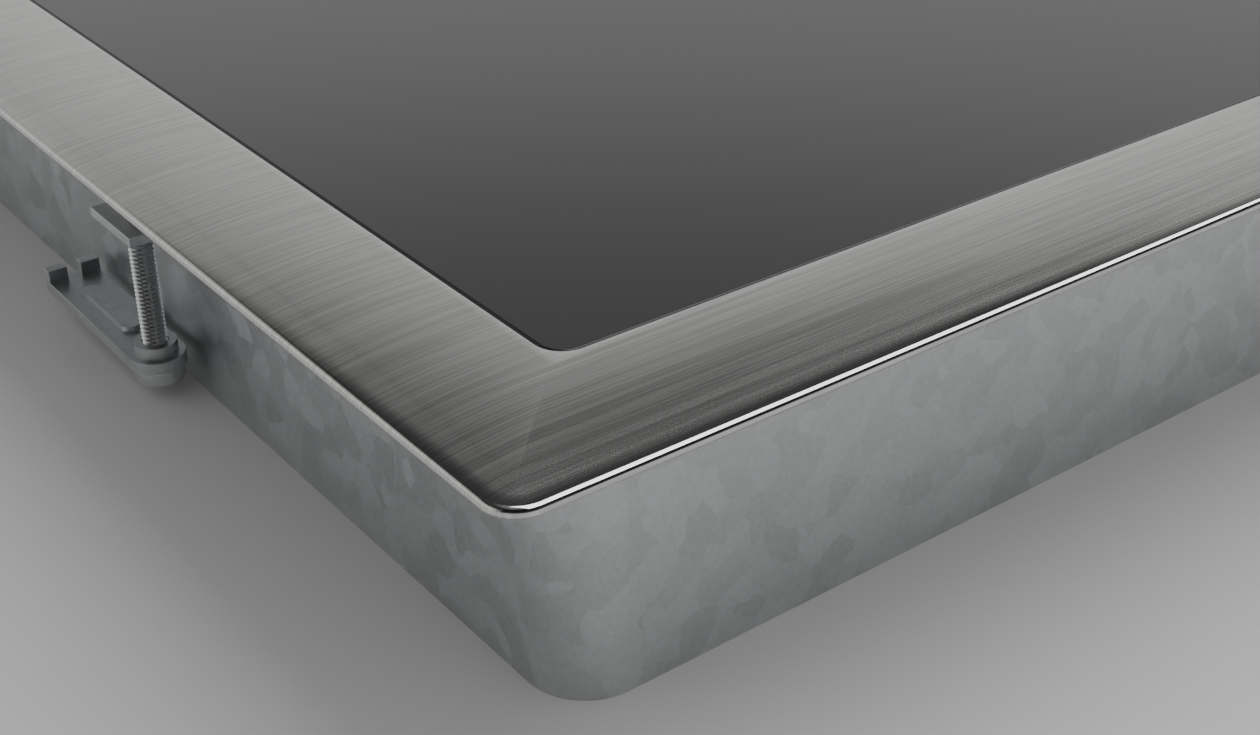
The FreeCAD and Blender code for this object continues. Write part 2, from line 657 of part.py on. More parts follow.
# --- worktop clamps -------------------------------------------------------------------------------
def clamp_screw(side, end):
    x, y = side * CLAMP_X, end * CLAMP_Y
    seat = CLAMP_HEAD_Z + CLAMP_HEAD_HEIGHT
    head = round_bottom(rod(x, y, CLAMP_HEAD, CLAMP_HEAD_Z, seat), CLAMP_HEAD_HEIGHT / 2)
    shank = rod(x, y, CLAMP_SCREW, seat, seat + CLAMP_SCREW_LENGTH)
    tip = [e for e in shank.Edges if e.BoundBox.ZMin > seat + CLAMP_SCREW_LENGTH - 1e-3]
    shank = shank.makeChamfer(0.3 * CLAMP_SCREW, tip)
    reach = 1.1 * CLAMP_SCREW
    cross = []
    for width, depth in ((2 * reach, SCREW_SLOT), (SCREW_SLOT, 2 * reach)):
        cross.append(centred(x, y, width, depth, CLAMP_HEAD_Z - 1, CLAMP_HEAD_Z + SCREW_SLOT_DEPTH))
    return cut_all(joined([head, shank]), cross)


def clamp_bracket(side, end):
    """A flat arm on the screw's head, stowed along the side wall and pointing to its middle."""
    seat = CLAMP_HEAD_Z + CLAMP_HEAD_HEIGHT
    top = seat + ARM_SHEET
    arm = block(-ARM_WIDTH / 2, ARM_WIDTH / 2, 0, ARM_LENGTH, seat, top)
    root = rod(0, 0, ARM_WIDTH / 2, seat, top)
    collar = rod(0, 0, CLAMP_SCREW + COLLAR_WALL, seat, top + COLLAR_HEIGHT)
    tip = block(-ARM_WIDTH / 2, ARM_WIDTH / 2, ARM_LENGTH - ARM_SHEET, ARM_LENGTH, seat, top + ARM_TIP)
    rib = turned(slot_slab(ARM_RIB, ARM_RIB_WIDTH, top, top + ARM_RIB_HEIGHT, 0, 0), 90)
    rib = moved(rib, 0, ARM_LENGTH / 2)
    bore = rod(0, 0, CLAMP_SCREW + SWIVEL_CLEARANCE, seat - 1, top + COLLAR_HEIGHT + 1)
    notch = centred(0, ARM_LENGTH, ARM_NOTCH, 3 * ARM_SHEET, top, top + ARM_TIP + 1)
    piece = joined([arm, root, collar, tip, rib]).cut(bore).cut(notch)
    return moved(turned(piece, 0 if end < 0 else 180), side * CLAMP_X, end * CLAMP_Y)


# --- tray and coils -------------------------------------------------------------------------------
def zone_centre(zone):
    side, end, from_wall, _ = ZONES[zone]
    return side * (PAN_X - ZONE_SIDE), end * (PAN_Y - from_wall)


def coil_radius(zone):
    return ZONES[zone][3] / 2 - COIL_MARGIN


def pillar_places():
    far_x, far_y = PAN_X - PILLAR_SIDE, PAN_Y - PILLAR_END
    sides = [(sx * far_x, sy * far_y) for sx in (-1, 1) for sy in (-1, 0, 1)]
    return sides + [(0.0, FRONT_PILLAR - PAN_Y), (0.0, 0.0), (0.0, far_y)]


def lead_places(zone):
    """Where a coil's two leads come up through the tray."""
    x, y = zone_centre(zone)
    lead_x = x - ZONES[zone][0] * LEAD_REACH
    return [(lead_x, y - LEAD_SPACING / 2), (lead_x, y + LEAD_SPACING / 2)]


def coil_tray():
    low, high = TRAY_UNDER - 1, TRAY_TOP + 1
    plate = rounded_slab(PAN_X - TRAY_GAP, PAN_Y - TRAY_GAP, TRAY_RADIUS, TRAY_UNDER, TRAY_TOP)
    cuts = [rod(x, y, TRAY_SCREW, low, high) for x, y in pillar_places()]
    for zone in ZONES:
        x, y = zone_centre(zone)
        cuts += [rod(lead_x, lead_y, LEAD_HOLE, low, high) for lead_x, lead_y in lead_places(zone)]
        reach = ZONES[zone][3] / 2 - TRAY_VENT_MARGIN
        for n in range(TRAY_VENTS):
            a = math.radians(360 * (n + 0.5) / TRAY_VENTS)
            cuts.append(rod(x + reach * math.cos(a), y + reach * math.sin(a), TRAY_VENT, low, high))
    cuts.append(slot_slab(*RIBBON_SLOT, low, high, RIBBON_X, CONTROL_Y))
    return cut_all(plate, cuts)


def tray_pillars():
    places = pillar_places()
    return group([tube(x, y, PILLAR_RADIUS, TRAY_SCREW, PAN_FLOOR, TRAY_UNDER) for x, y in places])


def ferrite_bars(zone, clearance=0.0):
    """Radial bars under the winding; with a clearance, the slots that hold them."""
    x, y = zone_centre(zone)
    inner = CARRIER_HUB + FERRITE_MARGIN - clearance
    outer = coil_radius(zone) - FERRITE_MARGIN + clearance
    half = FERRITE_WIDTH / 2 + clearance
    count = int(math.pi * ZONES[zone][3] / FERRITE_SPACING)
    top = CARRIER_UNDER + FERRITE_HEIGHT + clearance
    bar = block(x + inner, x + outer, y - half, y + half, CARRIER_UNDER, top)
    return [turned(bar, 360.0 * (n + 0.5) / count, x, y) for n in range(count)]


def coil_carrier(zone):
    x, y = zone_centre(zone)
    inner = coil_radius(zone) + COIL_CLEARANCE
    outer = inner + CARRIER_RIM
    plate = rod(x, y, outer, CARRIER_UNDER, WINDING_UNDER)
    rim = tube(x, y, outer, inner, CARRIER_UNDER, GLASS_UNDER - CARRIER_RIM_DROP)
    hub = rod(x, y, CARRIER_HUB, CARRIER_UNDER, MICA_UNDER)
    body = joined([plate, rim, hub]).cut(rod(x, y, SENSOR_HOLE, CARRIER_UNDER - 1, GLASS_UNDER))
    return cut_all(body, ferrite_bars(zone, FERRITE_CLEARANCE))


def spiral_side(x, y, first_radius, turns):
    """One side of the winding: a chain of half circles, each half a pitch wider than the last."""
    edges = []
    start_x = x + first_radius
    for n in range(2 * turns):
        way = 1 if n % 2 == 0 else -1
        radius = first_radius + LITZ_PITCH * (0.25 + 0.5 * n)
        centre_x = start_x - way * radius
        start = V(start_x, y, WINDING_UNDER)
        middle = V(centre_x, y + way * radius, WINDING_UNDER)
        end = V(centre_x - way * radius, y, WINDING_UNDER)
        edges.append(Part.Arc(start, middle, end).toShape())
        start_x = end.x
    return edges, V(start_x, y, WINDING_UNDER)


def coil_winding(zone):
    """A flat spiral of litz wire."""
    x, y = zone_centre(zone)
    turns = int((coil_radius(zone) - LITZ_WIDTH - WINDING_START) / LITZ_PITCH)
    inner, inner_end = spiral_side(x, y, WINDING_START, turns)
    outer, outer_end = spiral_side(x, y, WINDING_START + LITZ_WIDTH, turns)
    begin = x + WINDING_START
    first = Part.LineSegment(V(begin, y, WINDING_UNDER), V(begin + LITZ_WIDTH, y, WINDING_UNDER)).toShape()
    last = Part.LineSegment(inner_end, outer_end).toShape()
    outline = Part.Wire(inner + [last] + outer[::-1] + [first])
    return Part.Face(outline).extrude(V(0, 0, LITZ_HEIGHT))


def mica_disc(zone):
    x, y = zone_centre(zone)
    return tube(x, y, coil_radius(zone), SENSOR_HOLE, MICA_UNDER, GLASS_UNDER)


def zone_sensors():
    """Temperature probes that stand on the tray and touch the glass through each coil's middle."""
    probes = []
    for zone in ZONES:
        x, y = zone_centre(zone)
        foot = rod(x, y, PROBE_FOOT, TRAY_TOP, TRAY_TOP + PROBE_FOOT_HEIGHT)
        stem = rod(x, y, PROBE_STEM, TRAY_TOP, GLASS_UNDER - PROBE_CAP_HEIGHT)
        cap = rod(x, y, PROBE_CAP, GLASS_UNDER - PROBE_CAP_HEIGHT, GLASS_UNDER)
        cap = round_top(cap, PROBE_CAP_HEIGHT / 4)
        probes.append(joined([foot, stem, cap]))
    return group(probes)


def coil_spring(x, y):
    """A compression spring whose coils are tilted half circles."""
    half = (SPRING_HEIGHT - 2 * SPRING_WIRE) / (2 * SPRING_TURNS)
    reach = math.sqrt(SPRING_RADIUS**2 + half**2 / 4)
    coils = []
    for n in range(2 * SPRING_TURNS):
        start, bulge = (SPRING_RADIUS, reach) if n % 2 == 0 else (-SPRING_RADIUS, -reach)
        middle = V(0, bulge, (n + 0.5) * half)
        coils.append(Part.Arc(V(start, 0, n * half), middle, V(-start, 0, (n + 1) * half)).toShape())
    profile = Part.Wire(Part.Circle(V(SPRING_RADIUS, 0, 0), ALONG_Y, SPRING_WIRE).toShape())
    spring = Part.Wire(coils).makePipeShell([profile], True, False)
    return moved(spring, x, y, TRAY_TOP + SPRING_WIRE)


def coil_springs():
    springs = []
    for zone in ZONES:
        x, y = zone_centre(zone)
        reach = coil_radius(zone) - SPRING_PLACE
        for n in range(SPRINGS_PER_COIL):
            a = math.radians(90 + 360 * n / SPRINGS_PER_COIL)
            springs.append(coil_spring(x + reach * math.cos(a), y + reach * math.sin(a)))
    return group(springs)


def coil_leads():
    """Two litz leads for each coil, from its power board up through the tray to the coil's carrier."""
    run_z = TRAY_UNDER - LEAD_DROP
    leads = []
    for zone, (side, _, _, _) in ZONES.items():
        foot_x = side * (BOARD_INNER + LEAD_MARGIN)
        for n, (lead_x, lead_y) in enumerate(lead_places(zone)):
            nearest, furthest = BOARD_FRONT + LEAD_MARGIN * (n + 1), BOARD_BACK - LEAD_MARGIN * (2 - n)
            foot_y = max(min(lead_y, furthest), nearest)
            points = [V(foot_x, foot_y, BOARD_TOP), V(foot_x, foot_y, run_z), V(lead_x, lead_y, run_z)]
            leads.append(wire_along(points + [V(lead_x, lead_y, CARRIER_UNDER)], LEAD, LEAD_BEND))
    return group(leads)


# --- power electronics ----------------------------------------------------------------------------
def standoff_places(side):
    dx, dy = BOARD_WIDTH / 2 - STANDOFF_MARGIN, BOARD_DEPTH / 2 - STANDOFF_MARGIN
    return [(side * BOARD_X + sx * dx, BOARD_Y + sy * dy) for sx in (-1, 1) for sy in (-1, 1)]


def power_board(side):
    board = centred(side * BOARD_X, BOARD_Y, BOARD_WIDTH, BOARD_DEPTH, BOARD_UNDER, BOARD_TOP)
    places = standoff_places(side)
    return cut_all(board, [rod(x, y, BOARD_HOLE, BOARD_UNDER - 1, BOARD_TOP + 1) for x, y in places])


def board_standoffs():
    posts = []
    for side in SIDES.values():
        for x, y in standoff_places(side):
            post = rod(x, y, STANDOFF_RADIUS, PAN_FLOOR, BOARD_UNDER)
            posts.append(joined([post, rod(x, y, STANDOFF_PIN, PAN_FLOOR, BOARD_TOP + STANDOFF_PIN)]))
    return group(posts)


def heatsink(side):
    x = side * HEATSINK_X
    pieces = [centred(x, BOARD_Y, HEATSINK_WIDTH, HEATSINK_LENGTH, BOARD_TOP, BOARD_TOP + HEATSINK_BASE)]
    for n in range(FINS):
        fin_x = x + (n / (FINS - 1) - 0.5) * (HEATSINK_WIDTH - FIN)
        top = BOARD_TOP + HEATSINK_HEIGHT
        pieces.append(centred(fin_x, BOARD_Y, FIN, HEATSINK_LENGTH, BOARD_TOP, top))
    return joined(pieces)


def power_transistors():
    """Switching transistors and a bridge rectifier against the inner side of each heatsink."""
    thick, width, height = TRANSISTOR
    pieces = []
    for side in SIDES.values():
        face = side * HEATSINK_X - side * HEATSINK_WIDTH / 2
        back = face - side * thick
        for n in range(TRANSISTORS + 1):
            y = BOARD_Y + (n - TRANSISTORS / 2) * TRANSISTOR_PITCH
            half = (width if n < TRANSISTORS else BRIDGE_WIDTH) / 2
            body = block(face, back, y - half, y + half, BOARD_TOP + LEG, BOARD_TOP + LEG + height)
            leg_x = (face + back) / 2
            leg_places = [y + k * LEG_PITCH for k in (-1, 0, 1)]
            legs = [centred(leg_x, leg_y, *LEG_SECTION, BOARD_TOP, BOARD_TOP + LEG) for leg_y in leg_places]
            pieces.append(joined([body] + legs))
    return group(pieces)


def film_capacitors():
    width, depth, height = CAPACITOR
    pieces = []
    for side in SIDES.values():
        x = side * HEATSINK_X - side * (HEATSINK_WIDTH / 2 + CAPACITOR_GAP + width / 2 + TRANSISTOR[0])
        for n in range(CAPACITORS):
            y = BOARD_Y + (n - (CAPACITORS - 1) / 2) * CAPACITOR_PITCH
            pieces.append(round_top(centred(x, y, width, depth, BOARD_TOP, BOARD_TOP + height), 1.0))
    return group(pieces)


def filter_chokes():
    """Toroidal chokes that lie on the boards, near their front and rear edges."""
    size = 2 * (CHOKE_RING + CHOKE_SECTION) + 1
    pieces = []
    for side in SIDES.values():
        x = side * (BOARD_INNER + BOARD_WIDTH / 3)
        for y in (BOARD_FRONT + CHOKE_MARGIN, BOARD_BACK - CHOKE_MARGIN):
            ring = Part.makeTorus(CHOKE_RING, CHOKE_SECTION, V(x, y, BOARD_TOP + CHOKE_SEAT))
            pieces.append(ring.cut(centred(x, y, size, size, BOARD_TOP - 1, BOARD_TOP)))
    return group(pieces)


def relays():
    width, depth, height = RELAY
    pieces = []
    for side in SIDES.values():
        x = side * (BOARD_INNER + RELAY_MARGIN)
        for n in range(RELAYS):
            y = BOARD_Y + (n - (RELAYS - 1) / 2) * RELAY_PITCH
            pieces.append(centred(x, y, width, depth, BOARD_TOP, BOARD_TOP + height))
    return group(pieces)


# --- blowers --------------------------------------------------------------------------------------
def blower_volume(wall, z0, z1, front):
    """A round chamber and a straight outlet to the front, this far inside the blower's outer skin."""
    chamber = rod(0, 0, BLOWER_RADIUS - wall, z0, z1)
    outlet = block(OUTLET_INNER + wall, BLOWER_RADIUS - wall, front, 0, z0, z1)
    return joined([chamber, outlet])


def fan_housing(side):
    z0, z1 = PAN_FLOOR, PAN_FLOOR + BLOWER_HEIGHT
    front = -BLOWER_RADIUS - BLOWER_OUTLET
    shell = blower_volume(0, z0, z1, front)
    room = blower_volume(BLOWER_WALL, z0 + BLOWER_WALL, z1 - BLOWER_WALL, front - 1)
    inlet = rod(0, 0, INLET_RADIUS, z0 - 1, z0 + 2 * BLOWER_WALL)
    motor = rod(0, 0, MOTOR_RADIUS, PAN_FLOOR + MOTOR_Z, z1 - BLOWER_WALL)
    bush = rod(0, 0, SHAFT + SHAFT_CLEARANCE, z0, z1 - BUSH_END)
    whole = joined([shell.cut(room).cut(inlet), motor]).cut(bush)
    if side < 0:
        whole = whole.mirror(V(0, 0, 0), ALONG_X)
    return moved(whole, side * BLOWER_X, BLOWER_Y)


def fan_rotor(side):
    z0 = PAN_FLOOR + BLOWER_WALL + ROTOR_GAP
    z1 = PAN_FLOOR + BLOWER_HEIGHT - BLOWER_WALL - ROTOR_GAP
    cup_inner = MOTOR_RADIUS + CUP_CLEARANCE
    cup_outer = cup_inner + CUP_WALL
    cup_top = PAN_FLOOR + MOTOR_Z - CUP_GAP
    cup_under = cup_top - CUP_WALL
    vane_inner = ROTOR_RADIUS - VANE_DEPTH
    disc = tube(0, 0, ROTOR_RADIUS, cup_inner, z1 - ROTOR_DISC, z1)
    cup = tube(0, 0, cup_outer, cup_inner, cup_under, z1)
    floor = rod(0, 0, cup_outer, cup_under, cup_top)
    shaft = rod(0, 0, SHAFT, cup_under, PAN_FLOOR + BLOWER_HEIGHT - BUSH_END - SHAFT_END)
    ring = tube(0, 0, ROTOR_RADIUS, vane_inner + ROTOR_RING_INSET, z0, z0 + ROTOR_RING)
    vane = block(vane_inner, ROTOR_RADIUS, -VANE / 2, VANE / 2, z0, z1)
    vane = turned(vane, VANE_TURN * side, ROTOR_RADIUS - VANE_DEPTH / 2, 0)
    vane = vane.common(rod(0, 0, ROTOR_RADIUS, z0, z1))
    vanes = [turned(vane, 360.0 * n / VANES) for n in range(VANES)]
    return moved(joined([disc, cup, floor, shaft, ring] + vanes), side * BLOWER_X, BLOWER_Y)


# --- control unit ---------------------------------------------------------------------------------
def control_tray():
    """A plastic channel under the front of the glass that holds the touch board."""
    floor = TRAY_TOP + CONTROL_FLOOR
    top = CONTROL_BOARD_TOP + CONTROL_LIP
    wide, deep = CONTROL_WIDTH - 2 * CONTROL_WALL, CONTROL_DEPTH - 2 * CONTROL_WALL
    well_depth = deep - 2 * CONTROL_WALL
    outer = centred(0, CONTROL_Y, CONTROL_WIDTH, CONTROL_DEPTH, TRAY_TOP, top)
    room = centred(0, CONTROL_Y, wide, deep, CONTROL_BOARD_UNDER, top + 1)
    well = centred(0, CONTROL_Y, wide - 2 * CONTROL_WALL, well_depth, floor, CONTROL_BOARD_UNDER + 1)
    slot = centred(RIBBON_X, CONTROL_Y, *RIBBON_SLOT, TRAY_TOP - 1, floor + 1)
    ribs = []
    for n in range(CONTROL_RIBS):
        x = (n - (CONTROL_RIBS - 1) / 2) * CONTROL_RIB_PITCH
        ribs.append(centred(x, CONTROL_Y, CONTROL_RIB, well_depth, floor, CONTROL_BOARD_UNDER))
    return joined([outer.cut(room).cut(well).cut(slot)] + ribs)


def control_board():
    inside = 2 * (CONTROL_WALL + BOARD_CLEARANCE)
    width, depth = CONTROL_WIDTH - inside, CONTROL_DEPTH - inside
    return centred(0, CONTROL_Y, width, depth, CONTROL_BOARD_UNDER, CONTROL_BOARD_TOP)


def display_modules():
    y = CONTROL_Y + DISPLAY_Y
    pieces = []
    for n in range(DISPLAYS):
        x = (n - (DISPLAYS - 1) / 2) * DISPLAY_PITCH
        pieces.append(centred(x, y, *DISPLAY, CONTROL_BOARD_TOP, GLASS_UNDER - DISPLAY_GAP))
    return group(pieces)


def touch_springs():
    """Short contact sleeves that carry each key's field up to the glass."""
    y = CONTROL_Y + KEY_Y
    pieces = []
    for n in range(KEYS):
        x = (n - (KEYS - 1) / 2) * KEY_PITCH
        pieces.append(tube(x, y, KEY_RADIUS, KEY_RADIUS - KEY_WALL, CONTROL_BOARD_TOP, GLASS_UNDER))
    return group(pieces)


def control_ribbon():
    """A flat cable from the left power board, forward under the tray and up to the touch board."""
    width, thick = RIBBON
    back = BOARD_FRONT + RIBBON_MARGIN
    run_z = BOARD_TOP + RIBBON_RISE
    route = [(back, BOARD_TOP), (back, run_z), (CONTROL_Y, run_z), (CONTROL_Y, CONTROL_BOARD_UNDER)]
    path = bent_path([V(RIBBON_X, y, z) for y, z in route], RIBBON_BEND)
    corners = [(-1, -1), (1, -1), (1, 1), (-1, 1), (-1, -1)]
    outline = [V(RIBBON_X + sx * width / 2, back + sy * thick / 2, BOARD_TOP) for sx, sy in corners]
    return path.makePipeShell([Part.makePolygon(outline)], True, False)


# --- mains connection -----------------------------------------------------------------------------
def wire_x(n):
    return BOX_LEFT + WIRE_SIDE + n * WIRE_PITCH


def terminal_box():
    """A plastic box round the terminals, open to the hatch in the rear wall."""
    floor, top = PAN_FLOOR + BOX_WALL, PAN_FLOOR + BOX_HEIGHT
    shell = block(BOX_LEFT, BOX_RIGHT, BOX_FRONT, BACK, PAN_FLOOR, top)
    left, right, front = BOX_LEFT + BOX_WALL, BOX_RIGHT - BOX_WALL, BOX_FRONT + BOX_WALL
    room = block(left, right, front, PAN_Y, floor, top - BOX_WALL)
    holes = []
    for n in range(WIRES):
        holes.append(rod_along_y(wire_x(n), floor + WIRE_RISE, WIRE + WIRE_HOLE, BOX_FRONT - 1, front + 1))
    return cut_all(shell.cut(room), holes)


def terminal_block():
    """Poles in a row, each with its clamping screw at the top and its wire entry at the rear."""
    left = HATCH_LEFT + BLOCK_SIDE
    front = BOX_FRONT + BOX_WALL + BLOCK_GAP
    low, top = PAN_FLOOR + BOX_WALL, PAN_FLOOR + BOX_WALL + POLE_HEIGHT
    screw_y = front + 0.3 * POLE_DEPTH
    back = front + POLE_DEPTH
    body = block(left, left + POLES * POLE_PITCH, front, back, low, top)
    cuts = []
    screws = []
    for n in range(POLES):
        x = left + (n + 0.5) * POLE_PITCH
        cuts.append(rod(x, screw_y, POLE_WELL, low + POLE_HEIGHT / 2, top + 1))
        cuts.append(rod_along_y(x, low + POLE_HEIGHT / 3, POLE_ENTRY, back - POLE_DEPTH / 3, back + 1))
        screw = rod(x, screw_y, POLE_SCREW, low + POLE_HEIGHT / 2, top - POLE_SCREW)
        slot_z = top - POLE_SCREW - SCREW_SLOT_DEPTH
        screws.append(screw.cut(centred(x, screw_y, 2 * POLE_SCREW + 1, SCREW_SLOT, slot_z, top)))
    for n in range(1, POLES):
        x = left + n * POLE_PITCH
        cuts.append(centred(x, back, SCREW_SLOT, POLE_DEPTH / 2, low + POLE_HEIGHT / 4, top + 1))
    return joined([cut_all(body, cuts)] + screws)


def terminal_cover():
    """The hatch cover, closed, with its hinge barrel and pins on the right and its snap on the left."""
    near = PAN_Y + COVER_GAP
    far = near + COVER
    ear_low, ear_high = HATCH_LOW - COVER_LAP, HATCH_HIGH + COVER_LAP
    low, high = ear_low + COVER_PLAY, ear_high - COVER_PLAY
    middle = (low + high) / 2
    plate = block(HATCH_LEFT - COVER_LAP, HINGE_X, near, far, low, high)
    barrel = rod(HINGE_X, HINGE_Y, HINGE_BARREL, low, high)
    pin = rod(HINGE_X, HINGE_Y, HINGE_PIN, ear_low - EAR + COVER_PLAY, ear_high + EAR - COVER_PLAY)
    latch_x = HATCH_LEFT + LATCH_WIDTH / 2
    latch_low = middle - LATCH_HEIGHT / 2
    latch_high = latch_low + LATCH_HEIGHT
    latch = block(latch_x, latch_x + LATCH_WIDTH, PAN_Y - LATCH_REACH, near, latch_low, latch_high)
    left, right = HATCH_LEFT + COVER_RIB_MARGIN, HATCH_RIGHT - COVER_RIB_MARGIN
    ribs = []
    for n in range(COVER_RIBS):
        z = middle + (n - (COVER_RIBS - 1) / 2) * (high - low) / (COVER_RIBS + 1)
        ribs.append(block(left, right, far, far + COVER_RIB_HEIGHT, z - COVER_RIB / 2, z + COVER_RIB / 2))
    return joined([plate, barrel, pin, latch] + ribs)


def cable_gland():
    """A gland through the rear wall: flange and nose outside, nut inside, and the bore for the cable."""
    flange_y = PAN_Y + GLAND_FLANGE_SHEET
    body = rod_along_y(GLAND_X, GLAND_Z, GLAND_BODY - GLAND_PLAY, BACK - GLAND_INSIDE, flange_y)
    flange = rod_along_y(GLAND_X, GLAND_Z, GLAND_FLANGE, PAN_Y, flange_y)
    nose_start = V(GLAND_X, flange_y, GLAND_Z)
    nose_length = GLAND_NOSE - GLAND_FLANGE_SHEET
    nose = Part.makeCone(GLAND_BODY + 1, GLAND_BODY + 1 - GLAND_TAPER, nose_length, nose_start, ALONG_Y)
    nut_centre = V(GLAND_X, BACK - GLAND_NUT_HEIGHT, GLAND_Z)
    angles = [math.radians(60 * n) for n in range(7)]
    corners = [nut_centre + V(math.cos(a), 0, math.sin(a)) * GLAND_NUT for a in angles]
    nut = Part.Face(Part.makePolygon(corners)).extrude(V(0, GLAND_NUT_HEIGHT, 0))
    bore = rod_along_y(GLAND_X, GLAND_Z, GLAND_BORE, BACK - GLAND_INSIDE - 1, PAN_Y + GLAND_NOSE + 1)
    return joined([body, flange, nose, nut]).cut(bore)


def mains_wires():
    """Wires from the terminals through the box's front wall to the right power board."""
    z = PAN_FLOOR + BOX_WALL + WIRE_RISE
    start_x = HATCH_LEFT + BLOCK_SIDE
    end_y = BOARD_BACK - STANDOFF_MARGIN
    wires = []
    for n in range(WIRES):
        y = BOX_FRONT + BOX_WALL + BLOCK_GAP + (WIRES - n) * WIRE_PITCH
        x = wire_x(n)
        route = [V(start_x, y, z), V(x, y, z), V(x, end_y, z), V(x, end_y, BOARD_TOP)]
        wires.append(wire_along(route, WIRE, WIRE_BEND))
    return group(wires)


# --- the list of nodes ----------------------------------------------------------------------------
SINGLE = [
    glass_panel, rim_frame, glass_adhesive, worktop_seal, pan_floor, pan_walls, clamp_lugs,
    case_screws, coil_tray, tray_pillars, coil_springs, coil_leads, zone_sensors,
    board_standoffs, power_transistors, film_capacitors, filter_chokes, relays,
    control_tray, control_board, display_modules, touch_springs, control_ribbon,
    terminal_box, terminal_block, terminal_cover, cable_gland, mains_wires,
]
PER_SIDE = [power_board, heatsink, fan_housing, fan_rotor]
PER_CORNER = [clamp_screw, clamp_bracket]
PER_ZONE = [coil_carrier, coil_winding, mica_disc]


def all_nodes():
    """(node name, shape) of every piece."""
    for make in SINGLE:
        yield make.__name__, make()
    for side_name, side in SIDES.items():
        for make in PER_SIDE:
            yield f"{make.__name__}_{side_name}", make(side)
        for end_name, end in ENDS.items():
            for make in PER_CORNER:
                yield f"{make.__name__}_{end_name}_{side_name}", make(side, end)
    for zone in ZONES:
        for make in PER_ZONE:
            yield f"{make.__name__}_{zone}", make(zone)
        yield f"coil_ferrites_{zone}", group(ferrite_bars(zone))


def main():
    os.makedirs("parts", exist_ok=True)
    for name, shape in all_nodes():
        shape.exportStep(f"parts/{name}.step")
        if not shape.isValid():
            print("invalid shape:", name)


main()
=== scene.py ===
"""A built-in induction cooktop with a brushed steel rim: the finish of every piece and the stage."""
import json
import math

import bmesh
import bpy
from mathutils import Matrix, Vector


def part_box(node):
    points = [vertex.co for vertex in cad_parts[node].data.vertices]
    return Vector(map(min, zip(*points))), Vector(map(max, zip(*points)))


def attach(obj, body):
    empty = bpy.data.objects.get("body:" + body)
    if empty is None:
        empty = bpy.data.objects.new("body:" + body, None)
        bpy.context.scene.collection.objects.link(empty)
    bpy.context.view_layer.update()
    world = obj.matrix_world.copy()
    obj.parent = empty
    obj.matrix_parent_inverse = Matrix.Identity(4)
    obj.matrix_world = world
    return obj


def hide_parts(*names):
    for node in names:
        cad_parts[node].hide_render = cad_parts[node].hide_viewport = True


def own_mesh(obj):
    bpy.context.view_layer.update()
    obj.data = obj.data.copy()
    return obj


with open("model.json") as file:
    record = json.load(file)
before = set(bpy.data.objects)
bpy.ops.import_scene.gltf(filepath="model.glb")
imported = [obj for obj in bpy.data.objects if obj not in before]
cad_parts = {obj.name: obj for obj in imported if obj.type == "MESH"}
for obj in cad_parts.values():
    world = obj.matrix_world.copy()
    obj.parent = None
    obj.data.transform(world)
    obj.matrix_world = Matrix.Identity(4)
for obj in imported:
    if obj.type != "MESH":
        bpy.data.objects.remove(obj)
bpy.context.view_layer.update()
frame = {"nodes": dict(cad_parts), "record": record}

bl_info = {
    "name": "Induction cooktop",
    "version": (1, 0, 0),
    "blender": (4, 5, 0),
    "location": "View3D > Sidebar > Cooktop",
    "description": "Models and finishes the pieces of a framed induction cooktop",
    "category": "Object",
}

NODES = frame["nodes"]
CORNERS = ("front_left", "front_right", "rear_left", "rear_right")     # of the coils and the clamps
RIM_LOW, RIM_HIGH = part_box("rim_frame")
GLASS_LOW, GLASS_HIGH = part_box("glass_panel")
SEAL_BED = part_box("glass_adhesive")[0]
PAN_LOW, PAN_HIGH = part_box("pan_walls")
FINISH = "_finish"       # end of every material's name, after its slot
MM = 0.001
NEAR = 0.01 * MM         # two heights or places that count as one
WELD = 0.002 * MM        # points of a frame node's mesh that are one point
CORNER_STEPS = 20        # faces round a corner in plan
MITRE_SHORT = 0.1 * MM   # radius that a corner still has where its mitre starts


# --- sizes and colours that a user would change ---------------------------------------------------
def length(name, what, default):
    return bpy.props.FloatProperty(name=name, description=what, default=default, min=0, precision=5,
                                   subtype="DISTANCE", unit="LENGTH")


def colour(name, what, default):
    return bpy.props.FloatVectorProperty(name=name, description=what, default=default, size=4,
                                         min=0, max=1, subtype="COLOR")


class RimSizes(bpy.types.PropertyGroup):
    """Section of the rim."""
    limb: length("Limb", "Visible width of the rim", 20 * MM)
    crown_run: length("Crown", "Width of the strip that curves down to the outer edge", 18.7 * MM)
    crown_drop: length("Crown drop", "How far that strip comes down", 1.2 * MM)
    crown_slope: bpy.props.FloatProperty(name="Crown slope", description="Slope where the rolled edge begins",
                                         default=math.radians(9.2), subtype="ANGLE", unit="ROTATION")
    edge: length("Edge radius", "Radius of the rolled outer edge", 0.8 * MM)
    hem: length("Hem", "Width of the folded hem under the outer edge", 5 * MM)
    sheet: length("Sheet", "Thickness of the sheet", 0.8 * MM)
    ledge: length("Ledge", "Width of the ledge under the glass", 7 * MM)
    outer_radius: length("Outer corner", "Radius of the outer corners in plan", 4.5 * MM)
    opening_radius: length("Opening corner", "Radius of the opening's corners in plan", 3.6 * MM)
    ledge_drop: length("Ledge drop", "How far the ledge's top lies under the rim's top", 5.1 * MM)
    lip: length("Lip radius", "Radius along the opening's upper edge", 0.28 * MM)
    arris: length("Arris", "Ground edge of the glass", 0.15 * MM)


class Finishes(bpy.types.PropertyGroup):
    """Main colours."""
    steel: colour("Steel", "Brushed stainless steel of the rim", (0.66, 0.655, 0.64, 1))
    glass: colour("Glass", "Glass ceramic", (0.011, 0.0115, 0.0115, 1))
    zinc: colour("Zinc", "Galvanised sheet of the pan", (0.6, 0.61, 0.62, 1))
    print_grey: colour("Printing", "Marks on the glass", (0.36, 0.36, 0.36, 1))


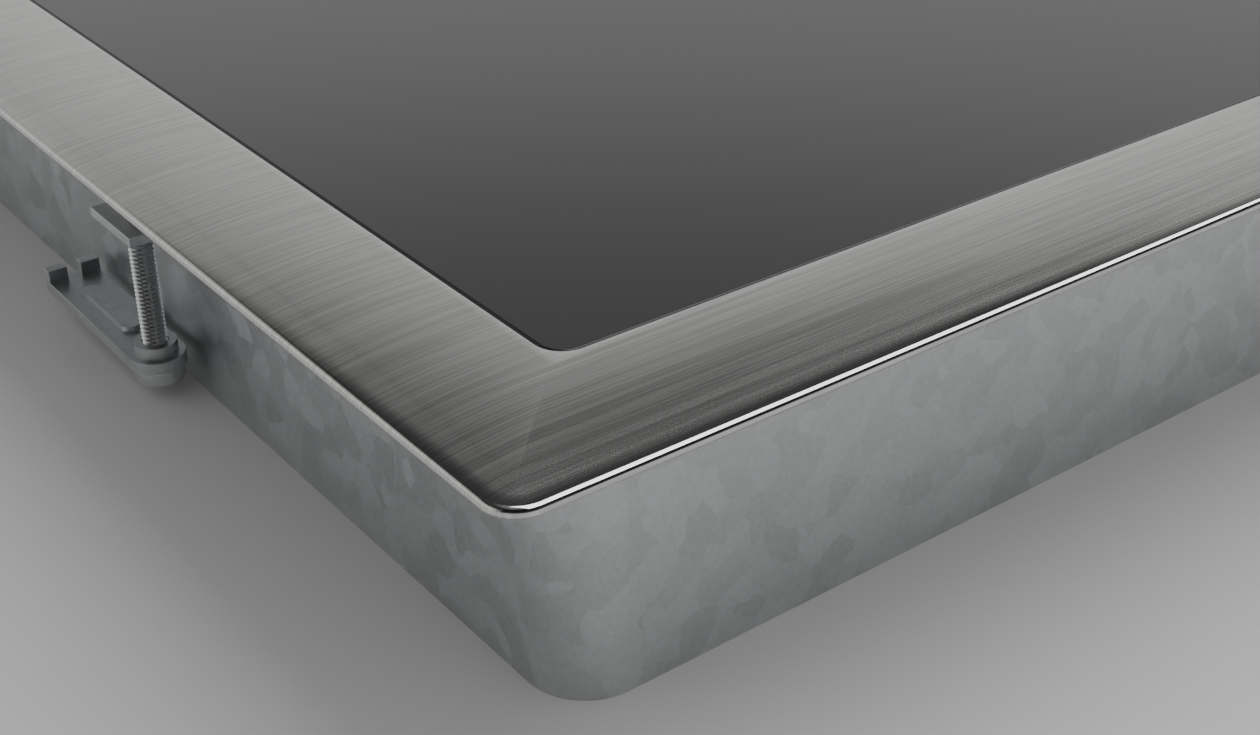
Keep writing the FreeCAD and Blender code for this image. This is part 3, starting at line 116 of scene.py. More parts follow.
class StageSizes(bpy.types.PropertyGroup):
    """Camera, lights and floor."""
    camera: bpy.props.FloatVectorProperty(name="Camera", description="Where the camera stands",
                                          default=(-0.3659, -0.3725, 0.1491), subtype="TRANSLATION",
                                          unit="LENGTH")
    azimuth: bpy.props.FloatProperty(name="Azimuth", description="Camera's turn from looking along Y",
                                     default=math.radians(-37.5), subtype="ANGLE", unit="ROTATION")
    elevation: bpy.props.FloatProperty(name="Elevation", description="Camera's tilt below the horizon",
                                       default=math.radians(30.2), subtype="ANGLE", unit="ROTATION")
    roll: bpy.props.FloatProperty(name="Roll", description="Camera's turn about its own axis",
                                  default=0.0, subtype="ANGLE", unit="ROTATION")
    lens: bpy.props.FloatProperty(name="Lens", description="Focal length on a 36 mm wide sensor",
                                  default=51.85, min=1, subtype="DISTANCE_CAMERA")
    floor: colour("Floor", "Floor's colour", (0.5, 0.5, 0.5, 1))


SCENE_GROUPS = {"cooktop_rim": RimSizes, "cooktop_finish": Finishes, "cooktop_stage": StageSizes}


# --- mesh modelling -------------------------------------------------------------------------------
def deselect_all():
    """Leaves edit mode with nothing selected."""
    if bpy.context.object and bpy.context.object.mode != "OBJECT":
        bpy.ops.object.mode_set(mode="OBJECT")
    bpy.ops.object.select_all(action="DESELECT")


def choose(piece):
    """Makes the piece the only one that is selected."""
    deselect_all()
    piece.select_set(True)
    bpy.context.view_layer.objects.active = piece
    return piece


def edit(piece):
    choose(piece)
    bpy.ops.object.mode_set(mode="EDIT")


def pick(piece, kind, test):
    """Selects the vertices, edges or faces in edit mode that pass the test, and no others."""
    bpy.context.tool_settings.mesh_select_mode = (kind == "verts", kind == "edges", kind == "faces")
    bpy.ops.mesh.select_all(action="DESELECT")
    mesh = bmesh.from_edit_mesh(piece.data)
    for item in getattr(mesh, kind):
        if test(item):
            item.select_set(True)
    mesh.select_flush_mode()
    bmesh.update_edit_mesh(piece.data)


def slide(x=0.0, y=0.0, z=0.0):
    """Extrudes what is selected."""
    bpy.ops.mesh.extrude_region_move(TRANSFORM_OT_translate={"value": (x, y, z)})


def outwards():
    """Turns every face outwards and leaves all selected."""
    bpy.ops.mesh.select_all(action="SELECT")
    bpy.ops.mesh.normals_make_consistent(inside=False)


def plate(name, half_x, half_y, z, radius, segments=CORNER_STEPS):
    """A flat face with rounded corners, in edit mode."""
    deselect_all()
    bpy.ops.mesh.primitive_plane_add(size=2, location=(0, 0, z))
    piece = bpy.context.object
    piece.name = piece.data.name = name
    bpy.ops.object.transform_apply(location=True, rotation=True, scale=True)
    bpy.ops.object.mode_set(mode="EDIT")
    bpy.ops.mesh.select_all(action="SELECT")
    bpy.ops.transform.resize(value=(half_x, half_y, 1), center_override=(0, 0, z))
    bpy.ops.mesh.bevel(offset=radius, segments=segments, profile=0.5, affect="VERTICES")
    pick(piece, "faces", lambda face: True)
    return piece


def strip(name, low, high):
    """A block from a plane pulled up, in edit mode, with its top selected."""
    deselect_all()
    low, high = Vector(low), Vector(high)
    bpy.ops.mesh.primitive_plane_add(size=1, location=((low.x + high.x) / 2, (low.y + high.y) / 2, low.z))
    piece = bpy.context.object
    piece.name = piece.data.name = name
    bpy.ops.object.transform_apply(location=True, rotation=True, scale=True)
    bpy.ops.object.mode_set(mode="EDIT")
    bpy.ops.mesh.select_all(action="SELECT")
    bpy.ops.transform.resize(value=(high.x - low.x, high.y - low.y, 1),
                             center_override=((low.x + high.x) / 2, (low.y + high.y) / 2, low.z))
    slide(z=high.z - low.z)
    return piece


def along(edge, axis):
    """True for an edge that runs along one axis."""
    way = edge.verts[0].co - edge.verts[1].co
    return all(abs(way[other]) < NEAR for other in range(3) if other != axis)


def bored(piece, place, radius, depth, sides=32):
    """Cuts a round hole along X through the piece."""
    deselect_all()
    bpy.ops.mesh.primitive_cylinder_add(vertices=sides, radius=radius, depth=depth, location=place,
                                        rotation=(0, math.pi / 2, 0))
    return cut(piece, bpy.context.object)


def cut(piece, cutter):
    """Takes the cutter's space out of the piece and removes the cutter."""
    choose(piece)
    bpy.ops.object.modifier_add(type="BOOLEAN")
    taken = piece.modifiers[-1]
    taken.object, taken.operation, taken.solver = cutter, "DIFFERENCE", "EXACT"
    bpy.ops.object.modifier_apply(modifier=taken.name)
    erased(cutter)
    return piece


def copied(piece):
    """A copy with its own mesh."""
    twin = piece.copy()
    twin.data = piece.data.copy()
    bpy.context.scene.collection.objects.link(twin)
    return twin


def turned(piece, degrees, place):
    """Sets the piece at a place given in its own direction, then turns it about the frame's Z axis."""
    piece.data.transform(Matrix.Rotation(math.radians(degrees), 4, "Z") @ Matrix.Translation(place))
    return piece


def erased(piece):
    bpy.data.objects.remove(piece)


def level(item, z):
    return all(abs(vert.co.z - z) < NEAR for vert in item.verts)


def pick_cap(piece, z):
    """Selects the large face that closes a ring at this height; its area is most of the cooktop's."""
    pick(piece, "faces", lambda face: level(face, z) and face.calc_area() > 0.05)


def square_corners(piece, inset, z):
    """Makes one vertex of each nearly sharp corner of the ring at this inset, so that a mitre can start."""
    for side_x in (-1, 1):
        for side_y in (-1, 1):
            corner = Vector((side_x * (RIM_HIGH.x - inset), side_y * (RIM_HIGH.y - inset), z))
            pick(piece, "verts", lambda vert: (vert.co - corner).length < 2 * MITRE_SHORT)
            bpy.ops.mesh.merge(type="CENTER")
    pick_cap(piece, z)


def inset_past_corner(piece, start, radius, total, z):
    """Insets the cap by more than its corner radius, so that its corners become mitres."""
    rounded = radius - MITRE_SHORT
    pick_cap(piece, z)
    bpy.ops.mesh.inset(thickness=rounded)
    square_corners(piece, start + rounded, z)
    bpy.ops.mesh.inset(thickness=total - rounded)


def merged(name, pieces):
    """Joins the pieces into the first one."""
    deselect_all()
    for piece in pieces:
        piece.select_set(True)
    bpy.context.view_layer.objects.active = pieces[0]
    bpy.ops.object.join()
    piece = bpy.context.object
    piece.name = piece.data.name = name
    return piece


def smooth(piece, degrees=32.0, steered=True):
    """Smooth shading over gentle edges, steered by the large faces unless told otherwise."""
    choose(piece)
    bpy.ops.object.shade_smooth_by_angle(angle=math.radians(degrees))
    if not steered:
        return piece
    bpy.ops.object.modifier_add(type="WEIGHTED_NORMAL")
    piece.modifiers[-1].keep_sharp = True
    bpy.ops.object.modifier_apply(modifier=piece.modifiers[-1].name)
    return piece


def coat(piece, material):
    """Gives the whole piece one material."""
    piece.data.materials.clear()
    piece.data.materials.append(material)
    return piece


def settle(piece, body, slot, *replaced, finish=None):
    """Gives a finished piece its place in the frame and its slot's material."""
    deselect_all()
    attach(piece, body)
    if replaced:
        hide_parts(*replaced)
    return coat(piece, material_for(finish or slot))


def welded(node, name):
    """A copy of a frame node as one skin, in edit mode with all selected."""
    deselect_all()
    piece = bpy.data.objects.new(name, NODES[node].data.copy())
    bpy.context.scene.collection.objects.link(piece)
    edit(piece)
    bpy.ops.mesh.select_all(action="SELECT")
    bpy.ops.mesh.remove_doubles(threshold=WELD)
    return piece


def softened(node, name, width, degrees=30.0):
    """A copy of a frame node with its sharp edges slightly rounded."""
    piece = welded(node, name)
    bpy.ops.mesh.dissolve_limited(angle_limit=math.radians(1))
    bpy.ops.object.mode_set(mode="OBJECT")
    bpy.ops.object.modifier_add(type="BEVEL")
    bevel = piece.modifiers[-1]
    bevel.width, bevel.segments, bevel.limit_method = width, 2, "ANGLE"
    bevel.angle_limit = math.radians(degrees)
    bevel.use_clamp_overlap = True
    bpy.ops.object.modifier_apply(modifier=bevel.name)
    return smooth(piece)


# --- material nodes -------------------------------------------------------------------------------
def put(tree, kind, inputs=None, **settings):
    """Adds a shader node. Each input is a value or another node's socket."""
    made = tree.nodes.new("ShaderNode" + kind)
    for name, value in settings.items():
        setattr(made, name, value)
    for key, value in (inputs or {}).items():
        if isinstance(value, bpy.types.NodeSocket):
            tree.links.new(value, made.inputs[key])
        else:
            made.inputs[key].default_value = value
    return made


def maths(tree, operation, *values):
    """A number worked out from others."""
    return put(tree, "Math", dict(enumerate(values)), operation=operation).outputs[0]


def ramp(tree, factor, *stops):
    """A smooth colour ramp of (place, grey or colour) stops."""
    made = put(tree, "ValToRGB", {0: factor})
    made.color_ramp.interpolation = "EASE"
    while len(made.color_ramp.elements) < len(stops):
        made.color_ramp.elements.new(0.5)
    for element, (place, value) in zip(made.color_ramp.elements, stops):
        element.position = place
        element.color = (value, value, value, 1) if isinstance(value, float) else value
    return made.outputs[0]


def blend(tree, factor, first, second):
    """A colour between two colours."""
    made = put(tree, "Mix", data_type="RGBA")
    for key, value in ((0, factor), (6, first), (7, second)):
        if isinstance(value, bpy.types.NodeSocket):
            tree.links.new(value, made.inputs[key])
        else:
            made.inputs[key].default_value = value
    return made.outputs[2]


def between(tree, factor, low, high):
    """A number between two numbers."""
    return put(tree, "MapRange", {0: factor, 3: low, 4: high}).outputs[0]


def spread(tree, factor, low, high):
    """Stretches the part of a noise that lies between two numbers to the whole range."""
    return put(tree, "MapRange", {0: factor, 1: low, 2: high}).outputs[0]


def toned(base, factor):
    """A lighter or darker colour."""
    return tuple(min(1, factor * value) for value in base[:3]) + (1,)


def object_place(tree):
    """The point's place in the frame."""
    return put(tree, "TexCoord").outputs["Object"]


def shader_group(name, inputs, outputs, fill):
    """A node group with named inputs; fill(tree, inputs) returns its outputs in order."""
    tree = bpy.data.node_groups.new(name, "ShaderNodeTree")
    for label, value in inputs.items():
        kind = "NodeSocketVector" if isinstance(value, tuple) else "NodeSocketFloat"
        tree.interface.new_socket(label, in_out="INPUT", socket_type=kind).default_value = value
    for label in outputs:
        tree.interface.new_socket(label, in_out="OUTPUT", socket_type="NodeSocketFloat")
    entry, leave = tree.nodes.new("NodeGroupInput"), tree.nodes.new("NodeGroupOutput")
    for socket, result in zip(leave.inputs, fill(tree, entry.outputs)):
        tree.links.new(result, socket)
    return tree


def place_group(tree, name, **inputs):
    """Places a node group with the given input values and returns its outputs."""
    made = put(tree, "Group", node_tree=bpy.data.node_groups[name])
    for label, value in inputs.items():
        socket = made.inputs[label.replace("_", " ")]
        if isinstance(value, bpy.types.NodeSocket):
            tree.links.new(value, socket)
        else:
            socket.default_value = value
    return made.outputs


def fill_grain(tree, inputs):
    """Long fine streaks and fainter broad ones."""
    place = object_place(tree)
    results = []
    for label, detail in (("Fine", 2.0), ("Broad", 3.0)):
        stretched = put(tree, "VectorMath", {0: place, 1: inputs[label]}, operation="MULTIPLY").outputs[0]
        noise = put(tree, "TexNoise", {"Vector": stretched, "Scale": 1.0, "Detail": detail,
                                       "Roughness": 0.6}).outputs[0]
        results.append(spread(tree, noise, 0.36, 0.64))
    return results


def fill_mottle(tree, inputs):
    """Soft clouds, as of handling and dust."""
    place = object_place(tree)
    noise = put(tree, "TexNoise", {"Vector": place, "Scale": inputs["Scale"], "Detail": 4.0}).outputs[0]
    return [spread(tree, noise, 0.3, 0.7)]


def fill_spangle(tree, inputs):
    """Zinc crystals, each with its own brightness, and the frost that lies over them."""
    place = object_place(tree)
    wobble = put(tree, "TexNoise", {"Vector": place, "Scale": inputs["Scale"]}).outputs[1]
    bent = put(tree, "VectorMath", {0: wobble, 1: (0.003, 0.003, 0.003)}, operation="MULTIPLY").outputs[0]
    shifted = put(tree, "VectorMath", {0: place, 1: bent}, operation="ADD").outputs[0]
    cells = put(tree, "TexVoronoi", {"Vector": shifted, "Scale": inputs["Scale"]})
    grey = put(tree, "SeparateColor", {0: cells.outputs["Color"]}).outputs[0]
    frost = put(tree, "TexNoise", {"Vector": shifted, "Scale": maths(tree, "MULTIPLY", inputs["Scale"], 6.0),
                                   "Detail": 3.0}).outputs[0]
    return [grey, spread(tree, frost, 0.35, 0.65)]


def fill_twist(tree, inputs):
    """Strands laid round a coil's middle, with the slant of twisted wire."""
    place = object_place(tree)
    away = put(tree, "VectorMath", {0: place, 1: inputs["Middle"]}, operation="SUBTRACT").outputs[0]
    parts = put(tree, "SeparateXYZ", {0: away})
    turn = maths(tree, "ARCTAN2", parts.outputs[1], parts.outputs[0])
    flat = put(tree, "CombineXYZ", {0: parts.outputs[0], 1: parts.outputs[1]}).outputs[0]
    reach = put(tree, "VectorMath", {0: flat}, operation="LENGTH").outputs["Value"]
    laps = maths(tree, "MULTIPLY", reach, inputs["Strands"])
    slant = maths(tree, "MULTIPLY", turn, inputs["Twists"])
    wave = maths(tree, "SINE", maths(tree, "ADD", maths(tree, "MULTIPLY", laps, math.tau), slant))
    return [maths(tree, "MULTIPLY_ADD", wave, 0.5, 0.5)]


def fill_tracks(tree, inputs):
    """A board's copper tracks under its lacquer."""
    place = object_place(tree)
    cells = put(tree, "TexVoronoi", {"Vector": place, "Scale": inputs["Scale"], "Randomness": 0.7},
                distance="CHEBYCHEV", feature="F2")
    bands = maths(tree, "FRACT", maths(tree, "MULTIPLY", cells.outputs[0], 5.0))
    return [maths(tree, "GREATER_THAN", bands, 0.55)]


def make_groups():
    """The effects that several materials share; their scales are in turns per metre."""
    shader_group("Grain", {"Fine": (45.0, 4400.0, 45.0), "Broad": (10.0, 950.0, 10.0)},
                 ("Fine", "Broad"), fill_grain)
    shader_group("Mottle", {"Scale": 20.0}, ("Value",), fill_mottle)
    shader_group("Spangle", {"Scale": 90.0}, ("Crystal", "Frost"), fill_spangle)
    shader_group("Twist", {"Middle": (0.0, 0.0, 0.0), "Strands": 2600.0, "Twists": 220.0}, ("Value",),
                 fill_twist)
    shader_group("Tracks", {"Scale": 60.0}, ("Value",), fill_tracks)


def new_material(name, **values):
    """A slot's node tree and its Principled shader, with constants on the shader's own sockets."""
    material = bpy.data.materials.new(name + FINISH)
    material.use_nodes = True
    shader = material.node_tree.nodes["Principled BSDF"]
    for label, value in values.items():
        shader.inputs[label.replace("_", " ")].default_value = value
    return material.node_tree, shader


def wire(tree, shader, **sockets):
    """Joins patterns to the shader's sockets."""
    for label, socket in sockets.items():
        tree.links.new(socket, shader.inputs[label.replace("_", " ")])


def bump(tree, shader, height, strength, distance):
    """Gives the shader fine relief, with its distance in metres."""
    made = put(tree, "Bump", {"Height": height, "Strength": strength, "Distance": distance})
    wire(tree, shader, Normal=made.outputs[0])


def brushed_steel():
    """Grain along X on top, and polish on the rolled edge and on everything lower."""
    base = bpy.context.scene.cooktop_finish.steel
    edge_top = RIM_HIGH.z - bpy.context.scene.cooktop_rim.crown_drop
    polish_end, brush_start = edge_top - 0.05 * MM, edge_top + 0.22 * MM
    tree, shader = new_material("brushed_stainless", Metallic=1.0, Anisotropic=0.7)
    grain = place_group(tree, "Grain")
    height = put(tree, "SeparateXYZ", {0: object_place(tree)}).outputs[2]
    brushed = spread(tree, height, polish_end, brush_start)
    streak = maths(tree, "MULTIPLY_ADD", grain["Fine"], 0.8, maths(tree, "MULTIPLY", grain["Broad"], 0.2))
    rough = between(tree, grain["Broad"], 0.19, 0.215)
    wire(tree, shader, Base_Color=ramp(tree, streak, (0.15, toned(base, 0.8)), (0.85, tuple(base))),
         Roughness=put(tree, "Mix", {0: brushed, 2: 0.07, 3: rough}).outputs[0],
         Tangent=put(tree, "Tangent", direction_type="RADIAL", axis="X").outputs[0])
    bump(tree, shader, maths(tree, "MULTIPLY", grain["Fine"], brushed), 0.06, 0.01 * MM)


def glass_ceramic():
    """Black glass whose gloss is clouded a little by wiping."""
    base = bpy.context.scene.cooktop_finish.glass
    tree, shader = new_material("ceramic_glass", Base_Color=tuple(base), IOR=1.52)
    cloud = place_group(tree, "Mottle", Scale=14.0)["Value"]
    wire(tree, shader, Roughness=between(tree, cloud, 0.02, 0.045))
    bump(tree, shader, place_group(tree, "Mottle", Scale=2400.0)["Value"], 0.02, 0.002 * MM)


def sheet_metal(name, base, scale, roughness):
    """Sheet with crystals, as of zinc or rolled aluminium."""
    tree, shader = new_material(name, Metallic=1.0)
    spangle = place_group(tree, "Spangle", Scale=scale)
    mixed = maths(tree, "MULTIPLY_ADD", spangle["Frost"], 0.35,
                  maths(tree, "MULTIPLY", spangle["Crystal"], 0.65))
    wire(tree, shader, Base_Color=blend(tree, mixed, toned(base, 0.84), toned(base, 1.08)),
         Roughness=between(tree, mixed, roughness - 0.05, roughness + 0.07))
    bump(tree, shader, place_group(tree, "Mottle", Scale=300.0)["Value"], 0.12, 0.02 * MM)


def cast_or_moulded(name, base, roughness, metallic, grit, depth, unevenness=0.12):
    """Plastic, ceramic, rubber or plain metal with a fine skin, its depth in mm, and slightly uneven gloss."""
    tree, shader = new_material(name, Metallic=metallic)
    cloud = place_group(tree, "Mottle", Scale=35.0)["Value"]
    fine = place_group(tree, "Mottle", Scale=grit)["Value"]
    mixed = maths(tree, "MULTIPLY_ADD", fine, 0.4, maths(tree, "MULTIPLY", cloud, 0.6))
    wire(tree, shader, Base_Color=blend(tree, mixed, toned(base, 1 - unevenness), toned(base, 1 + unevenness)),
         Roughness=between(tree, cloud, roughness - 0.05, roughness + 0.07))
    bump(tree, shader, fine, 0.3, depth * MM)


def drawn_metal(name, base, roughness, fine):
    """Bright metal with lines along its length."""
    tree, shader = new_material(name, Metallic=1.0)
    grain = place_group(tree, "Grain", Fine=fine, Broad=tuple(turns / 6 for turns in fine))
    wire(tree, shader, Base_Color=blend(tree, grain["Broad"], toned(base, 0.86), toned(base, 1)),
         Roughness=between(tree, grain["Fine"], roughness - 0.04, roughness + 0.06))
    bump(tree, shader, grain["Fine"], 0.2, 0.01 * MM)


def litz(name, middle):
    """Enamelled copper strands laid round a coil's middle, with painted shade in the grooves between them."""
    tree, shader = new_material(name, Metallic=0.75)
    strands = place_group(tree, "Twist", Middle=middle)["Value"]
    # the dark copper is painted shade in the grooves between the strands, where the relief is low; the light
    # copper is the strands' own colour
    wire(tree, shader, Base_Color=blend(tree, strands, (0.2, 0.07, 0.03, 1), (0.72, 0.33, 0.17, 1)),
         Roughness=between(tree, strands, 0.5, 0.3))
    bump(tree, shader, strands, 0.6, 0.15 * MM)


def board_laminate():
    """Green lacquer with copper tracks under it."""
    tree, shader = new_material("board_laminate", Coat_Weight=0.3, Coat_Roughness=0.2)
    tracks = place_group(tree, "Tracks")["Value"]
    cloud = place_group(tree, "Mottle", Scale=900.0)["Value"]
    lacquer = blend(tree, cloud, (0.012, 0.1, 0.04, 1), (0.02, 0.14, 0.06, 1))
    wire(tree, shader, Base_Color=blend(tree, tracks, lacquer, (0.05, 0.24, 0.1, 1)),
         Roughness=between(tree, tracks, 0.45, 0.34))
    bump(tree, shader, tracks, 0.5, 0.03 * MM)


PLAIN = {      # slot: colour, roughness, metallic, turns of its grit per metre, depth of its skin in mm
    "black_silicone": ((0.018, 0.018, 0.018), 0.28, 0.0, 900.0, 0.01),
    "grey_foam": ((0.11, 0.11, 0.115), 0.85, 0.0, 1400.0, 0.2),
    "coil_plastic": ((0.05, 0.05, 0.055), 0.55, 0.0, 1200.0, 0.03),
    "ferrite": ((0.075, 0.075, 0.082), 0.6, 0.0, 2200.0, 0.03),
    "mica": ((0.6, 0.53, 0.42), 0.45, 0.0, 260.0, 0.04),
    "probe_ceramic": ((0.82, 0.81, 0.77), 0.25, 0.0, 900.0, 0.01),
    "nylon_white": ((0.76, 0.76, 0.74), 0.5, 0.0, 1000.0, 0.02),
    "package_black": ((0.03, 0.03, 0.032), 0.48, 0.0, 3000.0, 0.02),
    "capacitor_case": ((0.55, 0.45, 0.1), 0.35, 0.0, 1200.0, 0.01),
    "choke_enamel": ((0.42, 0.17, 0.06), 0.3, 0.3, 900.0, 0.05),
    "blower_plastic": ((0.045, 0.045, 0.05), 0.5, 0.0, 1600.0, 0.03),
    "ribbon_grey": ((0.52, 0.52, 0.53), 0.5, 0.0, 1200.0, 0.02),
    "terminal_plastic": ((0.07, 0.07, 0.075), 0.5, 0.0, 1600.0, 0.03),
    "terminal_ceramic": ((0.78, 0.77, 0.71), 0.42, 0.0, 900.0, 0.02),
    "wire_insulation": ((0.3, 0.13, 0.045), 0.35, 0.0, 900.0, 0.01),
}


def make_materials():
    """Every slot's material; the windings' are made with their coils."""
    finish = bpy.context.scene.cooktop_finish
    brushed_steel()
    glass_ceramic()
    board_laminate()
    sheet_metal("galvanised_sheet", finish.zinc, 210.0, 0.4)
    sheet_metal("aluminium_sheet", (0.72, 0.72, 0.73), 60.0, 0.34)
    drawn_metal("aluminium_extrusion", (0.7, 0.7, 0.71), 0.32, (3000.0, 60.0, 3000.0))
    drawn_metal("spring_steel", (0.55, 0.55, 0.55), 0.24, (1500.0, 1500.0, 1500.0))
    cast_or_moulded("zinc_screws", (0.66, 0.67, 0.68), 0.27, 1.0, 900.0, 0.003, 0.06)
    cast_or_moulded("glass_marks", finish.print_grey, 0.4, 0.0, 2600.0, 0.005)
    for slot, skin in PLAIN.items():
        cast_or_moulded(slot, *skin)


def slot_of(node):
    """The material slot that the record gives a frame node."""
    return next(part["material_slot"] for part in frame["record"]["subparts"] if part["node"] == node)


def material_for(slot):
    """A slot's own finish."""
    if slot + FINISH not in bpy.data.materials:
        raise RuntimeError(f"make the finishes first: {slot} has no material")
    return bpy.data.materials[slot + FINISH]


# --- pieces ---------------------------------------------------------------------------------------
class COOKTOP_OT_finishes(bpy.types.Operator):
    """Makes the shared node groups and materials and gives every frame node its own."""
    bl_idname = "cooktop.finishes"
    bl_label = "Finishes"

    def execute(self, context):
        make_groups()
        make_materials()
        for node, piece in NODES.items():
            slot = slot_of(node)
            if slot == "litz_copper":
                low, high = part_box(node)
                slot = "litz_" + node
                litz(slot, tuple((low + high) / 2))
            coat(piece, material_for(slot))
        return {"FINISHED"}


class COOKTOP_OT_rim(bpy.types.Operator):
    """Models the pressed rim: rolled edge, crown, flat, lip, step wall and ledge as one closed skin."""
    bl_idname = "cooktop.rim"
    bl_label = "Rim"

    OUTER_STEPS = 28      # faces round an outer corner in plan
    ROLL_STEPS = 10       # rings over the rolled edge
    CROWN_STEPS = 18      # rings over the crown
    LIP_STEPS = 5         # rings over the lip
    TAB_SHEET, TAB_HALF, TAB_REACH = 1.2 * MM, 8 * MM, 3.5 * MM     # thickness, half its width, foot
    TAB_CORNER, TAB_HOLE, TAB_HOLE_RISE = 2 * MM, 1.9 * MM, 4 * MM    # radii, hole's height over the tab's end
    SIDE_TABS, END_TABS = (-190, 0, 190), (-175, 175)               # places along the walls in mm

    def execute(self, context):
        sizes = context.scene.cooktop_rim
        pieces = [self.outer(sizes), self.opening(sizes), self.underside(sizes)]
        rim = merged("rim", pieces)
        edit(rim)
        bpy.ops.mesh.select_all(action="SELECT")
        bpy.ops.mesh.remove_doubles(threshold=NEAR)
        for z in (RIM_HIGH.z, RIM_HIGH.z - sizes.sheet):
            pick(rim, "edges", lambda edge: edge.is_boundary and level(edge, z))
            bpy.ops.mesh.fill(use_beauty=False)
        outwards()
        pick(rim, "edges", self.on_mitre)
        bpy.ops.mesh.mark_sharp()
        smooth(rim, steered=False)
        settle(rim, "hob", "brushed_stainless", "rim_frame")
        tabs = merged("rim_tabs", self.tabs(sizes))
        settle(smooth(tabs), "hob", "brushed_stainless", "rim_frame")
        return {"FINISHED"}

    @staticmethod
    def on_mitre(edge):
        """An edge that runs diagonally over the crown, where two limbs meet."""
        way = edge.verts[0].co - edge.verts[1].co
        return min(abs(way.x), abs(way.y)) > 0.5 * MM and abs(abs(way.x) - abs(way.y)) < 0.2 * MM

    def outer(self, sizes):
        """Rolled edge, the crown that curves down to it and the hem's underside."""
        low = RIM_HIGH.z - sizes.crown_drop - 2 * sizes.edge
        middle = low + sizes.edge
        piece = plate("rim", RIM_HIGH.x, RIM_HIGH.y, low, sizes.outer_radius, self.OUTER_STEPS)
        slide(z=sizes.edge)
        pick(piece, "edges", lambda edge: level(edge, low))
        bpy.ops.mesh.bevel(offset=sizes.edge, segments=8, profile=0.5, affect="EDGES", clamp_overlap=False)
        pick_cap(piece, middle)
        roll = (math.pi / 2 - sizes.crown_slope) / self.ROLL_STEPS
        turns = [roll * n for n in range(1, self.ROLL_STEPS + 1)]
        rings = [(sizes.edge * (1 - math.cos(turn)), middle + sizes.edge * math.sin(turn)) for turn in turns]
        start, height = rings[-1]
        run, drop = sizes.crown_run - start, RIM_HIGH.z - height
        power = math.tan(sizes.crown_slope) * run / drop
        mitre = sizes.outer_radius - MITRE_SHORT
        stride = run / self.CROWN_STEPS
        steps = [start + stride * n for n in range(1, self.CROWN_STEPS + 1)]
        for step in sorted([step for step in steps if abs(step - mitre) > 0.6 * stride] + [mitre]):
            rings.append((step, RIM_HIGH.z - drop * ((sizes.crown_run - step) / run)**power))
        inset, z = 0.0, middle
        for step, rise in rings:
            bpy.ops.mesh.inset(thickness=step - inset, depth=rise - z)
            inset, z = step, rise
            if step == mitre:
                square_corners(piece, inset, z)
        bpy.ops.mesh.delete(type="ONLY_FACE")
        inset_past_corner(piece, sizes.edge, sizes.outer_radius - sizes.edge, sizes.hem - sizes.edge, low)
        slide(z=RIM_HIGH.z - sizes.sheet - low)
        bpy.ops.mesh.delete(type="ONLY_FACE")
        return piece

    def opening(self, sizes):
        """Rounded lip, the wall beside the glass and the top of the ledge."""
        inset = sizes.limb - sizes.lip
        ledge_top = RIM_HIGH.z - sizes.ledge_drop
        piece = plate("opening", RIM_HIGH.x - inset, RIM_HIGH.y - inset, RIM_HIGH.z,
                      sizes.opening_radius + sizes.lip)
        turns = [math.radians(90 * n / self.LIP_STEPS) for n in range(self.LIP_STEPS + 1)]
        for before, after in zip(turns, turns[1:]):
            bpy.ops.mesh.inset(thickness=sizes.lip * (math.sin(after) - math.sin(before)),
                               depth=-sizes.lip * (math.cos(before) - math.cos(after)))
        slide(z=ledge_top - (RIM_HIGH.z - sizes.lip))
        inset_past_corner(piece, sizes.limb, sizes.opening_radius, sizes.ledge, ledge_top)
        slide(z=-sizes.sheet)
        bpy.ops.mesh.delete(type="ONLY_FACE")
        return piece

    def underside(self, sizes):
        """The step wall's outer face and the underside of the ledge."""
        inset = sizes.limb - sizes.sheet
        low = RIM_HIGH.z - sizes.ledge_drop - sizes.sheet
        high = RIM_HIGH.z - sizes.sheet
        radius = sizes.opening_radius + sizes.sheet
        piece = plate("underside", RIM_HIGH.x - inset, RIM_HIGH.y - inset, low, radius)
        slide(z=high - low)
        bpy.ops.mesh.delete(type="ONLY_FACE")
        inset_past_corner(piece, inset, radius, sizes.ledge + sizes.sheet, low)
        bpy.ops.mesh.delete(type="ONLY_FACE")
        return piece

    def tabs(self, sizes):
        """The welded angle tabs that carry the pan: one bent strip with a screw hole, copied round."""
        high = RIM_HIGH.z - sizes.ledge_drop - sizes.sheet
        low, sheet, half = RIM_LOW.z, self.TAB_SHEET, self.TAB_HALF
        first = strip("tab", (0, -half, low), (sheet, half, high - sheet))
        slide(z=sheet)
        pick(first, "faces", lambda face: face.normal.x > 0.9
             and face.calc_center_median().z > high - sheet)
        slide(x=self.TAB_REACH - sheet)
        pick(first, "edges", lambda edge: along(edge, 1) and edge.verts[0].co.z > high - NEAR
             and edge.verts[0].co.x < NEAR)
        bpy.ops.mesh.bevel(offset=0.9 * sheet, segments=6, affect="EDGES")
        pick(first, "edges", lambda edge: along(edge, 0) and level(edge, low))
        bpy.ops.mesh.bevel(offset=self.TAB_CORNER, segments=6, affect="EDGES")
        first = bored(first, (sheet / 2, 0, low + self.TAB_HOLE_RISE), self.TAB_HOLE, 3 * sheet)
        walls = {0: (PAN_HIGH.x, self.SIDE_TABS), 90: (-PAN_LOW.y, self.END_TABS),
                 180: (PAN_HIGH.x, self.SIDE_TABS), 270: (-PAN_LOW.y, self.END_TABS)}
        tabs = [turned(copied(first), turn, (wall, place * MM, 0))
                for turn, (wall, places) in walls.items() for place in places]
        erased(first)
        return tabs


